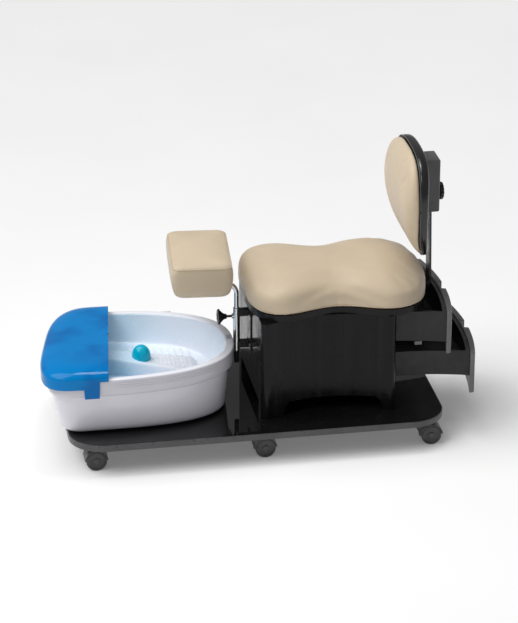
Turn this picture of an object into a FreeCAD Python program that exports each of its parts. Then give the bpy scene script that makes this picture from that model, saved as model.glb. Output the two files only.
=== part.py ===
"""Wheeled pedicure work seat: deck on six twin casters, drawer cabinet with seat,
height-adjustable backrest and footrest, and a loose foot bath with a splash cover.

Millimetres. +X runs to the drawers and backrest, -X to the foot bath, +Z up, floor at z = 0.
Shapes are built about the deck's centre and shifted once, in save(), to the row frame,
whose origin is the middle of the whole object's bounding box, on the floor.
"""
import FreeCAD
import Part
import math
import os

V = FreeCAD.Vector
UP = V(0, 0, 1)

# ---- row frame ----
DECK_CENTRE_X = -20.728

# ---- deck ----
DECK_LENGTH, DECK_WIDTH = 920.0, 497.0
DECK_BOTTOM, DECK_TOP = 64.0, 80.0
DECK_CORNER = 86.0
BAND_THICKNESS = 2.0

# ---- casters ----
WHEEL_RADIUS, WHEEL_WIDTH = 25.0, 18.5
CASTER_XS = (-411.0, 0.0, 411.0)
CASTER_Y = 196.0
CASTER_TRAIL = 13.0
CASTER_WEB = 6.0
HOOD_INNER, HOOD_OUTER = 25.8, 28.4
PLATE_SIZE, PLATE_THICKNESS = 42.0, 2.0
STEM_RADIUS, STEM_FOOT, STEM_TOP = 4.0, 48.0, 62.5
AXLE_RADIUS = 3.0
RUN = 0.05

# ---- cabinet ----
CAB_FRONT, CAB_REAR = 11.0, 343.0
CAB_HALF_WIDTH, CAB_WAIST = 172.7, 137.0
CAB_WAIST_X = 190.0
CAB_BOTTOM, CAB_SEAM, CAB_TOP = 113.0, 220.7, 331.0
CAB_WALL, CAB_PANEL = 4.0, 4.0
LEG_FRONT, LEG_REAR, LEG_END = 57.0, 30.0, 48.0

# ---- drawers (shown open) ----
DRAWER_BACK = 34.0
DRAWER_HALF = 128.0
DRAWER_MOUTH_HALF = 156.0
DRAWER_WALL = 3.0
LOWER_BOX = (150.0, 214.0)
UPPER_BOX = (245.0, 323.0)
LOWER_FRONT = (110.0, 218.0)
UPPER_FRONT = (221.0, 328.0)
LOWER_OPEN, UPPER_OPEN = 181.0, 120.0
FRONT_HALF = 172.0
FRONT_INNER_EDGE, FRONT_INNER_BOW = 345.5, 362.0
FRONT_OUTER_EDGE, FRONT_OUTER_BOW = 358.5, 378.0
SCOOP_WIDTH, SCOOP_DEPTH, SCOOP_DROP = 42.0, 12.0, 52.0

# ---- seat ----
SEAT_HALF_OUTLINE = [(-12, 0), (-7, -90), (26, -156), (62, -169), (118, -158), (200, -138),
                     (268, -157), (340, -177), (402, -152), (436, -80), (446, 0)]
SEAT_CENTRE_X = 216.0
TRAY_BOTTOM, TRAY_FLOOR, TRAY_TOP = 331.0, 339.0, 347.0
TRAY_INSET, TRAY_WALL = 7.0, 4.0
SEAT_SECTIONS = [(347.3, 4), (360, 0), (384, 1), (406, 10), (422, 30), (430.5, 66)]

# ---- backrest ----
BAR_WIDTH, BAR_THICKNESS = 40.0, 5.0
BAR_PATH = [(240.0, 333.8), (458.5, 333.8), (452.2, 660.0)]
BAR_BEND = 18.0
BACK_HALF_OUTLINE = [(0, 706), (58, 702), (106, 684), (138, 638), (147, 580), (138, 530),
                     (114, 486), (84, 457), (44, 433), (0, 421)]
BACK_FRONT_PROFILE = [(385, 725), (372, 690), (365, 650), (362, 600), (366, 550), (378, 500),
                      (392, 470), (428, 412)]
BACK_REAR_PROFILE = [(404, 725), (402, 690), (400, 650), (400, 600), (400, 550), (404, 500),
                     (413, 470), (438, 412)]
SHELL_REAR_PROFILE = [(432, 725), (429, 690), (425, 650), (421, 600), (421, 550), (427, 500),
                      (434, 470), (449, 412)]
CARRIER_HALF, CARRIER_REAR = 32.0, 474.0
CARRIER_Z = (537.0, 671.0)
CLAMP_GAP = 0.3
BACK_KNOB_Z = 579.0
BACK_KNOB_RADIUS, BACK_KNOB_STEM = 22.0, 4.0

# ---- footrest ----
POST_X = -22.0
POST_RADIUS, SLEEVE_RADIUS = 6.0, 8.5
SLEEVE_Z = (197.0, 305.0)
POST_BOTTOM, CAP_TOP = 159.0, 190.0
POST_FIT = 0.08
ARM_HEIGHT = 370.0
ARM_BEND = 26.0
ARM_REACH = 130.0
PLATE_TOP = 381.5
FOOT_YAW = -5.0
FOOT_PAD = (-112.0, 0.0)
FOOT_PAD_SECTIONS = [(381.8, 132, 230), (390, 146, 246), (425, 160, 257), (447, 159, 257), (465, 150, 250),
                     (474, 134, 234)]
FOOT_KNOB_Z = 284.0
FOOT_KNOB_STEM = 3.0

# ---- foot bath ----
BATH_X, BATH_Y, BATH_YAW = -387.0, -10.0, -1.0
BATH_LEFT, BATH_RIGHT, BATH_HALF = 98.0, 353.0, 201.0
BATH_LEFT_POWER, BATH_RIGHT_POWER = 3.3, 2.5
BATH_SKEW, BATH_SKEW_RUN = 0.19, 310.0
BATH_FEET, BATH_BOTTOM, BATH_STEP, BATH_RIM = 80.3, 84.3, 192.0, 235.0
BATH_BODY = [(84.3, (25, 23, 35)), (140.0, (15, 17, 20)), (192.0, (8, 12, 8))]
BATH_BOTTOM_POWER = 3.0
BATH_WALL = 3.0
BASIN_SIDE, BASIN_NOSE = 16.0, 20.0
BASIN_FLOOR_LEFT, BASIN_FLOOR_RIGHT = 176.0, 150.0
BASIN_DRAFT = 26.0
RIDGE_TOP_LEFT, RIDGE_TOP_RIGHT = 240.0, 150.0
RIDGE_START, RIDGE_END = -40.0, 270.0
RIDGE_HALF = (22.0, 50.0)
DOME_U, DOME_RADIUS, DOME_HEIGHT = 127.0, 24.5, 35.0
BUTTON_U, BUTTON_SIZE = 342.0, (13.0, 22.0)
COVER_EDGE_U = 47.0
TAB_RANGE, TAB_DROP = (-2.0, 29.0), 190.0
COVER_FLARE = 10.0
COVER_TOP, COVER_WALL = 262.0, 2.4


# ---------------------------------------------------------------- helpers
def box(x0, x1, y0, y1, z0, z1):
    return Part.makeBox(x1 - x0, y1 - y0, z1 - z0, V(x0, y0, z0))


def cylinder(radius, length, base, axis=UP):
    return Part.makeCylinder(radius, length, V(*base), V(*axis))


def prism(wire, z0, z1):
    """Upright prism of a closed wire that lies at any height."""
    face = Part.Face(wire)
    face.translate(V(0, 0, z0 - face.BoundBox.ZMin))
    return face.extrude(V(0, 0, z1 - z0))


def smooth_wire(points):
    curve = Part.BSplineCurve()
    curve.interpolate([V(*p) for p in points], PeriodicFlag=True)
    return Part.Wire([curve.toShape()])


def loft(wires):
    return Part.makeLoft(wires, True, False)


def rounded_rectangle(length, width, corner, z):
    """Closed wire about the z axis, with true corner arcs."""
    a, b, r = length / 2, width / 2, corner
    k = r * (1 - math.sqrt(0.5))
    edges = [
        Part.LineSegment(V(-a + r, -b, z), V(a - r, -b, z)),
        Part.Arc(V(a - r, -b, z), V(a - k, -b + k, z), V(a, -b + r, z)),
        Part.LineSegment(V(a, -b + r, z), V(a, b - r, z)),
        Part.Arc(V(a, b - r, z), V(a - k, b - k, z), V(a - r, b, z)),
        Part.LineSegment(V(a - r, b, z), V(-a + r, b, z)),
        Part.Arc(V(-a + r, b, z), V(-a + k, b - k, z), V(-a, b - r, z)),
        Part.LineSegment(V(-a, b - r, z), V(-a, -b + r, z)),
        Part.Arc(V(-a, -b + r, z), V(-a + k, -b + k, z), V(-a + r, -b, z)),
    ]
    return Part.Wire([e.toShape() for e in edges])


def save(name, solids):
    """Write one node: its solids shifted to the row frame."""
    solids = [s for shape in solids for s in shape.Solids]
    shape = solids[0] if len(solids) == 1 else Part.makeCompound(solids)
    shape = shape.copy()
    shape.translate(V(DECK_CENTRE_X, 0, 0))
    if not shape.isValid():
        print("not valid:", name)
    shape.exportStep("parts/" + name + ".step")


# ---------------------------------------------------------------- deck and casters
def caster_places():
    return [(x, y) for x in CASTER_XS for y in (-CASTER_Y, CASTER_Y)]


def caster_screw_places(x, y):
    reach = PLATE_SIZE / 2 - 6
    return [(x + i * reach, y + j * reach) for i in (-1, 1) for j in (-1, 1)]


def leg_screw_places():
    return [(CAB_FRONT + 12, 150), (CAB_FRONT + 12, -150), (CAB_REAR - 14, 150), (CAB_REAR - 14, -150)]


def deck():
    outer = rounded_rectangle(DECK_LENGTH, DECK_WIDTH, DECK_CORNER, 0)
    inset = 2 * BAND_THICKNESS
    inner = rounded_rectangle(DECK_LENGTH - inset, DECK_WIDTH - inset, DECK_CORNER - BAND_THICKNESS, 0)
    board = prism(inner, DECK_BOTTOM, DECK_TOP)
    band = prism(outer, DECK_BOTTOM, DECK_TOP)
    rims = [e for e in band.Edges if abs(e.BoundBox.ZMin - e.BoundBox.ZMax) < 0.01]
    band = band.makeFillet(1.5, rims).cut(prism(inner, DECK_BOTTOM, DECK_TOP))
    pilots = [cylinder(2.1, 11.1, (sx, sy, DECK_BOTTOM))
              for x, y in caster_places() for sx, sy in caster_screw_places(x, y)]
    bolts = [cylinder(3.1, DECK_TOP - DECK_BOTTOM, (x, y, DECK_BOTTOM)) for x, y in leg_screw_places()]
    board = board.cut(Part.makeCompound(pilots + bolts))
    save("base_board", [board])
    save("base_edge_band", [band])


def caster_plates():
    plates, screws = [], []
    for x, y in caster_places():
        wire = rounded_rectangle(PLATE_SIZE, PLATE_SIZE, 5, 0)
        plate = prism(wire, DECK_BOTTOM - PLATE_THICKNESS, DECK_BOTTOM)
        plate.translate(V(x, y, 0))
        boss = cylinder(9, 7, (x, y, DECK_BOTTOM - 8))
        bore = cylinder(STEM_RADIUS + RUN, 7, (x, y, DECK_BOTTOM - 8))
        plate = plate.fuse(boss).cut(bore)
        for sx, sy in caster_screw_places(x, y):
            plate = plate.cut(cylinder(2.1, 3, (sx, sy, DECK_BOTTOM - 2.5)))
            head = cylinder(3.6, 1.6, (sx, sy, DECK_BOTTOM - PLATE_THICKNESS - 1.6))
            screws.append(head.fuse(cylinder(2.0, 13, (sx, sy, DECK_BOTTOM - PLATE_THICKNESS))))
        plates.append(plate)
    save("caster_plates", plates)
    save("caster_screws", screws)


def caster(index, x, y):
    """One swivelling twin-wheel caster whose wheels trail towards +X."""
    wheel_x, wheel_z = x + CASTER_TRAIL, WHEEL_RADIUS
    half = CASTER_WEB / 2 + 0.5 + WHEEL_WIDTH
    along_y = (0, 1, 0)
    guard = cylinder(HOOD_OUTER, 2 * half, (wheel_x, y - half, wheel_z), along_y)
    guard = guard.cut(cylinder(HOOD_INNER, 2 * half, (wheel_x, y - half, wheel_z), along_y))
    guard = guard.cut(box(wheel_x - 40, wheel_x + 40, y - 40, y + 40, -10, wheel_z + 2))
    web = cylinder(HOOD_OUTER - 1, CASTER_WEB, (wheel_x, y - CASTER_WEB / 2, wheel_z), along_y)
    web = web.cut(box(wheel_x - 40, wheel_x + 40, y - 40, y + 40, -10, wheel_z - 8))
    neck = cylinder(9, 16, (x, y, 39.5)).cut(
        cylinder(HOOD_INNER, 60, (wheel_x, y - 30, wheel_z), along_y))
    hood = guard.fuse([web, neck])
    hood = hood.cut(cylinder(AXLE_RADIUS, 60, (wheel_x, y - 30, wheel_z), along_y))
    stem = cylinder(STEM_RADIUS, STEM_TOP - STEM_FOOT, (x, y, STEM_FOOT))
    hood = hood.cut(stem)
    axle = cylinder(AXLE_RADIUS, 2 * half - 3, (wheel_x, y - half + 1.5, wheel_z), along_y)
    wheels = []
    for side in (-1, 1):
        near = y + side * (CASTER_WEB / 2 + 0.5)
        base = near if side > 0 else near - WHEEL_WIDTH
        wheel = cylinder(WHEEL_RADIUS, WHEEL_WIDTH, (wheel_x, base, wheel_z), along_y)
        wheel = wheel.makeFillet(2.5, [e for e in wheel.Edges if e.Closed])
        wheels.append(wheel.cut(cylinder(AXLE_RADIUS + RUN, 60, (wheel_x, y - 30, wheel_z), along_y)))
    save("caster_hood_%d" % index, [hood])
    save("caster_pins_%d" % index, [axle, stem])
    save("caster_wheels_%d" % index, wheels)


# ---------------------------------------------------------------- cabinet
def cabinet_wire(inset=0.0):
    """Plan of the cabinet: straight ends, sides drawn in to a waist."""
    x0, x1 = CAB_FRONT + inset, CAB_REAR - inset
    corner, waist = CAB_HALF_WIDTH - inset, CAB_WAIST - inset
    run = 16.0
    near = Part.Arc(V(x0 + run, -corner, 0), V(CAB_WAIST_X, -waist, 0), V(x1 - run, -corner, 0))
    far = Part.Arc(V(x1 - run, corner, 0), V(CAB_WAIST_X, waist, 0), V(x0 + run, corner, 0))
    end = corner - run
    bulge = 4.5

    def turn(xa, ya, xb, yb, xc, yc):
        return Part.Arc(V(xa, ya, 0), V(xc, yc, 0), V(xb, yb, 0))

    edges = [
        near,
        turn(x1 - run, -corner, x1, -end, x1 - bulge, -corner + bulge),
        Part.LineSegment(V(x1, -end, 0), V(x1, end, 0)),
        turn(x1, end, x1 - run, corner, x1 - bulge, corner - bulge),
        far,
        turn(x0 + run, corner, x0, end, x0 + bulge, corner - bulge),
        Part.LineSegment(V(x0, end, 0), V(x0, -end, 0)),
        turn(x0, -end, x0 + run, -corner, x0 + bulge, -corner + bulge),
    ]
    return Part.Wire([e.toShape() for e in edges])


def cabinet_module(z0, z1, has_top):
    """One drawer bay: floor, front wall and waisted sides, open at the rear."""
    ceiling = z1 - CAB_PANEL if has_top else z1
    shell = prism(cabinet_wire(), z0, z1)
    bay = prism(cabinet_wire(CAB_WALL), z0 + CAB_PANEL, ceiling)
    mouth = box(CAB_REAR - 30, CAB_REAR + 5, -CAB_HALF_WIDTH + 14, CAB_HALF_WIDTH - 14,
                z0 + CAB_PANEL, ceiling)
    return shell.cut(bay.fuse(mouth))


def cabinet():
    lower = cabinet_module(CAB_BOTTOM, CAB_SEAM, False)
    upper = cabinet_module(CAB_SEAM, CAB_TOP, True)
    screws = []
    for x, y in leg_screw_places():
        lower = lower.cut(cylinder(3.1, 8, (x, y, CAB_BOTTOM - 2)))
        head = cylinder(5.5, 3, (x, y, DECK_BOTTOM - 3))
        screws.append(head.fuse(cylinder(3.0, 50, (x, y, DECK_BOTTOM))))
    for x, y in seat_screw_places():
        upper = upper.cut(cylinder(2.6, 8, (x, y, CAB_TOP - 6)))
    save("cabinet_lower_shell", [lower])
    save("cabinet_upper_shell", [upper])
    save("cabinet_screws", screws)


def cabinet_feet():
    """Four corner legs that flare out under the lower bay."""
    ring = prism(cabinet_wire(), DECK_TOP, CAB_BOTTOM).cut(prism(cabinet_wire(26), DECK_TOP, CAB_BOTTOM))
    height = CAB_BOTTOM - DECK_TOP
    x0, x1 = CAB_FRONT + LEG_FRONT, CAB_REAR - LEG_REAR
    flare = 16.0
    side = Part.makePolygon([V(x0, -200, DECK_TOP - 1), V(x1, -200, DECK_TOP - 1),
                             V(x1 - 4, -200, DECK_TOP + height * 0.6), V(x1 - flare, -200, CAB_BOTTOM + 1),
                             V(x0 + flare, -200, CAB_BOTTOM + 1), V(x0 + 4, -200, DECK_TOP + height * 0.6),
                             V(x0, -200, DECK_TOP - 1)])
    ring = ring.cut(Part.Face(side).extrude(V(0, 400, 0)))
    y1 = CAB_HALF_WIDTH - LEG_END
    ring = ring.cut(box(CAB_FRONT - 5, CAB_REAR + 5, -y1, y1, DECK_TOP - 1, CAB_BOTTOM + 1))
    holes = [cylinder(3.1, height, (x, y, DECK_TOP)) for x, y in leg_screw_places()]
    save("cabinet_feet", [ring.cut(Part.makeCompound(holes))])


def drawer_runners():
    """Two straight rails under each drawer, on the bay's front wall and waist."""
    rails = []
    for box_z in (LOWER_BOX, UPPER_BOX):
        top = box_z[0] - 0.4
        for side in (-1, 1):
            y0, y1 = sorted((side * 119.0, side * 132.6))
            rails.append(box(CAB_FRONT + CAB_WALL, CAB_REAR - 8, y0, y1, top - 6, top))
    save("drawer_runners", rails)


# ---------------------------------------------------------------- drawers
def drawer_wire(inset, open_by):
    """Plan of a drawer box: narrow behind, flared to its mouth, bowed at the front."""
    back, half, mouth = DRAWER_BACK + inset, DRAWER_HALF - inset, DRAWER_MOUTH_HALF - inset
    front = FRONT_INNER_EDGE + 2.9 - inset
    bow = FRONT_INNER_BOW - inset
    shift = open_by
    p = [V(back + shift, -half, 0), V(185 + shift, -half, 0), V(front + shift, -mouth, 0),
         V(front + shift, mouth, 0), V(185 + shift, half, 0), V(back + shift, half, 0)]
    flare = (264 + shift, half + 7)
    edges = [
        Part.LineSegment(p[0], p[1]),
        Part.Arc(p[1], V(flare[0], -flare[1], 0), p[2]),
        Part.Arc(p[2], V(bow + shift, 0, 0), p[3]),
        Part.Arc(p[3], V(flare[0], flare[1], 0), p[4]),
        Part.LineSegment(p[4], p[5]),
        Part.LineSegment(p[5], p[0]),
    ]
    return Part.Wire([e.toShape() for e in edges])


def drawer_box(z0, z1, open_by):
    shell = prism(drawer_wire(0, open_by), z0, z1)
    room = prism(drawer_wire(DRAWER_WALL, open_by), z0 + DRAWER_WALL, z1 - 2.5)
    mouth = prism(drawer_wire(9.0, open_by), z0 + DRAWER_WALL, z1)
    return shell.cut(room.fuse(mouth))


def drawer_front(z0, z1, open_by):
    """Bowed front with a finger scoop in the top of its outer face."""
    half, r = FRONT_HALF, 5.0
    xi, xo = FRONT_INNER_EDGE + open_by, FRONT_OUTER_EDGE + open_by
    inner = Part.Arc(V(xi, -half, 0), V(FRONT_INNER_BOW + open_by, 0, 0), V(xi, half, 0))
    outer = Part.Arc(V(xo, half - r, 0), V(FRONT_OUTER_BOW + open_by, 0, 0), V(xo, -half + r, 0))
    edges = [inner,
             Part.LineSegment(V(xi, half, 0), V(xo - r, half, 0)),
             Part.Arc(V(xo - r, half, 0), V(xo - 1.3, half - 1.7, 0), V(xo, half - r, 0)),
             outer,
             Part.Arc(V(xo, -half + r, 0), V(xo - 1.3, -half + 1.7, 0), V(xo - r, -half, 0)),
             Part.LineSegment(V(xo - r, -half, 0), V(xi, -half, 0))]
    panel = prism(Part.Wire([e.toShape() for e in edges]), z0, z1)
    # the inner arc passes exactly over the box's own bowed end
    panel = panel.cut(prism(drawer_wire(0, open_by), z0, z1))
    reach = FRONT_OUTER_BOW + open_by
    scoop = prism(rounded_rectangle(2 * SCOOP_DEPTH, SCOOP_WIDTH, 8, 0), z1 - SCOOP_DROP, z1 + 1)
    scoop.translate(V(reach, 0, 0))
    return panel.cut(scoop)


def drawers():
    for name, box_z, front_z, open_by in (("lower", LOWER_BOX, LOWER_FRONT, LOWER_OPEN),
                                          ("upper", UPPER_BOX, UPPER_FRONT, UPPER_OPEN)):
        save(name + "_drawer_box", [drawer_box(box_z[0], box_z[1], open_by)])
        save(name + "_drawer_front", [drawer_front(front_z[0], front_z[1], open_by)])
    guides = []
    for side in (-1, 1):
        y0, y1 = sorted((side * 134.5, side * 141.5))
        x = 283 + UPPER_OPEN
        guides.append(box(x - 9, x + 9, y0, y1, UPPER_BOX[0] - 9, UPPER_BOX[0]))
    save("upper_drawer_guides", guides)


# ---------------------------------------------------------------- seat
def seat_wire(inset, z):
    """Closed peanut-shaped plan, drawn in evenly by inset."""
    sx = (230.0 - inset) / 230.0
    sy = (168.0 - inset) / 168.0
    near = [(SEAT_CENTRE_X + (x - SEAT_CENTRE_X) * sx, y * sy, z) for x, y in SEAT_HALF_OUTLINE]
    far = [(x, -y, z) for x, y, z in reversed(near[1:-1])]
    return smooth_wire(near + far)


def seat_screw_places():
    return [(x, y) for x in (80.0, 300.0) for y in (-70.0, 70.0)]


def bar_strip(width, thickness, start=0.0):
    """Flat bar along BAR_PATH: level under the seat, one bend, then up and slightly forward."""
    (xa, za), (xb, zb), (xc, zc) = BAR_PATH
    a, b, c = V(xa, 0, za), V(xb, 0, zb), V(xc, 0, zc)
    before, after = (b - a).normalize(), (c - b).normalize()
    setback = BAR_BEND * math.tan(before.getAngle(after) / 2)
    p, q = b - before * setback, b + after * setback
    half_angle = before.getAngle(after) / 2
    bisector = (after - before).normalize()
    centre = b + bisector * (BAR_BEND / math.cos(half_angle))
    middle = centre - bisector * BAR_BEND
    first = a + before * start
    path = Part.Wire([Part.LineSegment(first, p).toShape(), Part.Arc(p, middle, q).toShape(),
                      Part.LineSegment(q, c).toShape()])
    w, t = width / 2, thickness / 2
    profile = Part.makePolygon([V(first.x, -w, za - t), V(first.x, w, za - t), V(first.x, w, za + t),
                                V(first.x, -w, za + t), V(first.x, -w, za - t)])
    return path.makePipeShell([profile], True, False)


def seat():
    tray = prism(seat_wire(TRAY_INSET, 0), TRAY_BOTTOM, TRAY_TOP)
    pan = prism(seat_wire(TRAY_INSET + TRAY_WALL, 0), TRAY_FLOOR, TRAY_TOP + 1)
    groove = box(BAR_PATH[0][0] - 1, 470, -BAR_WIDTH / 2 - 0.5, BAR_WIDTH / 2 + 0.5,
                 TRAY_BOTTOM - 1, BAR_PATH[0][1] + BAR_THICKNESS / 2 + 0.1)
    tray = tray.cut(pan).cut(groove)
    board = prism(seat_wire(TRAY_INSET + TRAY_WALL + 0.3, 0), TRAY_FLOOR, TRAY_TOP)
    cushion = loft([seat_wire(inset, z) for z, inset in SEAT_SECTIONS])
    screws = []
    for x, y in seat_screw_places():
        hole = cylinder(2.6, 20, (x, y, TRAY_BOTTOM - 1))
        tray, board = tray.cut(hole), board.cut(cylinder(2.6, 5.2, (x, y, TRAY_FLOOR)))
        head = cylinder(5, 2.5, (x, y, CAB_TOP - CAB_PANEL - 2.5))
        screws.append(head.fuse(cylinder(2.5, 17, (x, y, CAB_TOP - CAB_PANEL))))
    bolts = []
    for x in (270.0, 320.0, 370.0):
        shank = cylinder(3.0, 14, (x, 0, TRAY_BOTTOM + 0.3))
        tray = tray.cut(cylinder(3.1, 20, (x, 0, TRAY_BOTTOM)))
        board = board.cut(cylinder(3.1, 7, (x, 0, TRAY_FLOOR)))
        bolts.append(shank)
    bar = bar_strip(BAR_WIDTH, BAR_THICKNESS).cut(
        Part.makeCompound([cylinder(3.1, 20, (x, 0, TRAY_BOTTOM - 2)) for x in (270.0, 320.0, 370.0)]))
    save("seat_tray", [tray])
    save("seat_board", [board])
    save("seat_cushion", [cushion])
    save("seat_screws", screws)
    save("back_bar", [bar])
    save("back_bar_bolts", bolts)


# ---------------------------------------------------------------- backrest
def back_outline(grow):
    """Plan of the back pad in the YZ plane, at x = 0."""
    centre = 562.0
    right = [(0, y * (147 + grow) / 147, centre + (z - centre) * (145 + grow) / 145)
             for y, z in BACK_HALF_OUTLINE]
    left = [(0, -y, z) for _, y, z in reversed(right[1:-1])]
    return smooth_wire(right + left)


def profile_slab(front, rear):
    """Slab between two side profiles, 400 wide across Y."""
    f = Part.BSplineCurve()
    f.interpolate([V(x, -200, z) for x, z in front])
    r = Part.BSplineCurve()
    r.interpolate([V(x, -200, z) for x, z in rear])
    ends = [Part.LineSegment(V(front[i][0], -200, front[i][1]), V(rear[i][0], -200, rear[i][1])).toShape()
            for i in (0, -1)]
    face = Part.Face(Part.Wire(Part.sortEdges([f.toShape(), r.toShape()] + ends)[0]))
    return face.extrude(V(0, 400, 0))


def backrest():
    def column(grow):
        return Part.Face(back_outline(grow)).extrude(V(600, 0, 0))

    rear, behind = BACK_REAR_PROFILE, SHELL_REAR_PROFILE
    pad = column(0).common(profile_slab(BACK_FRONT_PROFILE, [(x - 0.3, z) for x, z in rear]))
    shell = column(3).common(profile_slab(rear, behind))
    carrier = box(412, CARRIER_REAR, -CARRIER_HALF, CARRIER_HALF, CARRIER_Z[0], CARRIER_Z[1])
    carrier = carrier.makeFillet(5, [e for e in carrier.Edges
                                     if e.BoundBox.XMin > CARRIER_REAR - 1])
    slab = profile_slab([(300, 735), (300, 600), (300, 412)], behind)
    slot = bar_strip(BAR_WIDTH + 2 * CLAMP_GAP, BAR_THICKNESS + 2 * CLAMP_GAP)
    over = bar_strip(BAR_WIDTH + 2 * CLAMP_GAP, BAR_THICKNESS + 2 * CLAMP_GAP)
    over.translate(V(-0.04, 0, 2.0))
    carrier = carrier.cut(slab).cut(slot).cut(over)
    stem = BACK_KNOB_STEM
    bore_from = (455.0, 0, BACK_KNOB_Z)
    carrier = carrier.cut(cylinder(stem + RUN, 30, bore_from, (1, 0, 0)))
    tip = 459.3
    head = cylinder(BACK_KNOB_RADIUS, 13, (CARRIER_REAR + 1.5, 0, BACK_KNOB_Z), (1, 0, 0))
    head = head.makeFillet(3, [e for e in head.Edges if e.Closed])
    shaft = cylinder(stem, CARRIER_REAR + 3 - tip, (tip, 0, BACK_KNOB_Z), (1, 0, 0))
    save("back_cushion", [pad])
    save("back_shell", [shell])
    save("back_carrier", [max(carrier.Solids, key=lambda s: s.Volume)])
    save("back_knob", [head.fuse(shaft)])


# ---------------------------------------------------------------- footrest
def turned_about_post(shape):
    turned = shape.copy()
    turned.rotate(V(POST_X, 0, 0), UP, FOOT_YAW)
    return turned


def footrest():
    x = POST_X
    sleeve = cylinder(SLEEVE_RADIUS, SLEEVE_Z[1] - SLEEVE_Z[0], (x, 0, SLEEVE_Z[0]))
    bore = cylinder(POST_RADIUS + POST_FIT, 200, (x, 0, SLEEVE_Z[0] - 1))
    boss = cylinder(6.5, 12, (x - 12, 0, FOOT_KNOB_Z), (1, 0, 0))
    tongues = [box(x, CAB_FRONT - 3, -9, 9, z, z + 16) for z in (SLEEVE_Z[0] + 4, SLEEVE_Z[1] - 20)]
    plate = box(CAB_FRONT - 3, CAB_FRONT, -26, 26, SLEEVE_Z[0], SLEEVE_Z[1])
    knob_bore = cylinder(FOOT_KNOB_STEM + RUN, 30, (x - 30, 0, FOOT_KNOB_Z), (1, 0, 0))
    bracket = tongues[0].fuse([tongues[1], plate]).cut(cylinder(SLEEVE_RADIUS, 400, (x, 0, 0)))
    sleeve = sleeve.fuse(boss).cut(bore).cut(knob_bore)
    rivets = [cylinder(4, 1.8, (CAB_FRONT - 4.8, side * 19, z), (1, 0, 0))
              for side in (-1, 1) for z in (SLEEVE_Z[0] + 14, SLEEVE_Z[1] - 14)]

    cap = cylinder(POST_RADIUS, CAP_TOP - POST_BOTTOM, (x, 0, POST_BOTTOM))
    cap = cap.makeFillet(1.5, [e for e in cap.Edges if e.BoundBox.ZMax < POST_BOTTOM + 1])
    up = Part.LineSegment(V(x, 0, CAP_TOP + 0.3), V(x, 0, ARM_HEIGHT - ARM_BEND)).toShape()
    k = ARM_BEND * (1 - math.sqrt(0.5))
    bend = Part.Arc(V(x, 0, ARM_HEIGHT - ARM_BEND), V(x - k, 0, ARM_HEIGHT - k),
                    V(x - ARM_BEND, 0, ARM_HEIGHT)).toShape()
    reach = Part.LineSegment(V(x - ARM_BEND, 0, ARM_HEIGHT), V(x - ARM_REACH, 0, ARM_HEIGHT)).toShape()
    ring = Part.Wire([Part.Circle(V(x, 0, CAP_TOP + 0.3), UP, POST_RADIUS).toShape()])
    post = Part.Wire([up, bend, reach]).makePipeShell([ring], True, False)
    px, py = FOOT_PAD
    under = box(px - 45, px + 45, -40, 40, PLATE_TOP - 3, PLATE_TOP)
    saddle = box(px - 30, px + 32, -14, 14, ARM_HEIGHT, PLATE_TOP - 3)
    saddle = saddle.cut(cylinder(POST_RADIUS, 200, (px - 60, 0, ARM_HEIGHT), (1, 0, 0)))
    under = under.fuse(saddle)
    pad = loft([smooth_pad_wire(px, py, z, w, d) for z, w, d in FOOT_PAD_SECTIONS])

    stem = cylinder(FOOT_KNOB_STEM, 25.4, (x - POST_RADIUS - 26.0, 0, FOOT_KNOB_Z), (1, 0, 0))
    hub = Part.makeCone(19.5, 6.0, 16, V(x - POST_RADIUS - 36, 0, FOOT_KNOB_Z), V(1, 0, 0))
    disc = cylinder(19.5, 5, (x - POST_RADIUS - 41, 0, FOOT_KNOB_Z), (1, 0, 0))
    save("footrest_sleeve", [sleeve])
    save("footrest_bracket", [bracket])
    save("footrest_bracket_screws", rivets)
    save("footrest_knob", [disc.fuse([hub, stem])])
    save("footrest_post_cap", [cap])
    save("footrest_post", [turned_about_post(post)])
    save("footrest_plate", [turned_about_post(under)])
    save("footrest_cushion", [turned_about_post(pad)])


def smooth_pad_wire(x, y, z, width, depth):
    wire = rounded_rectangle(width, depth, 18, z)
    wire.translate(V(x, y, 0))
    return wire


# ---------------------------------------------------------------- foot bath
def skew(u, v):
    """Slant of the broad end: its +v side lies further right, dying out towards the nose."""
    t = min(1.0, max(0.0, (u + BATH_LEFT) / BATH_SKEW_RUN))
    return u + BATH_SKEW * v * (1 - t * t * (3 - 2 * t))


def bath_wire(left, right, half, z, left_power=BATH_LEFT_POWER, right_power=BATH_RIGHT_POWER):
    """Closed plan, broad at -u and drawn out to a rounded nose at +u."""
    count = 40
    points = []
    for i in range(count):
        angle = 2 * math.pi * i / count
        c, s = math.cos(angle), math.sin(angle)
        power = right_power if c > 0 else left_power
        reach = right if c > 0 else left
        scale = (abs(c) ** power + abs(s) ** power) ** (-1 / power)
        u, v = reach * c * scale, half * s * scale
        points.append((skew(u, v), v, z))
    return smooth_wire(points)


def bath_section(inset, z):
    """Outline drawn in by inset: one number, or its left, right and side values."""
    left, right, side = inset if isinstance(inset, tuple) else (inset, inset, inset)
    depth = min(1.0, max(0.0, side) / 35.0)
    return bath_wire(BATH_LEFT - left, BATH_RIGHT - right, BATH_HALF - side, z, BATH_LEFT_POWER - 0.4 * depth,
                     BATH_RIGHT_POWER + (BATH_BOTTOM_POWER - BATH_RIGHT_POWER) * depth)


def basin_section(inset, z):
    return bath_wire(BATH_LEFT - BASIN_SIDE - inset, BATH_RIGHT - BASIN_NOSE - inset,
                     BATH_HALF - BASIN_SIDE - inset, z)


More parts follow.
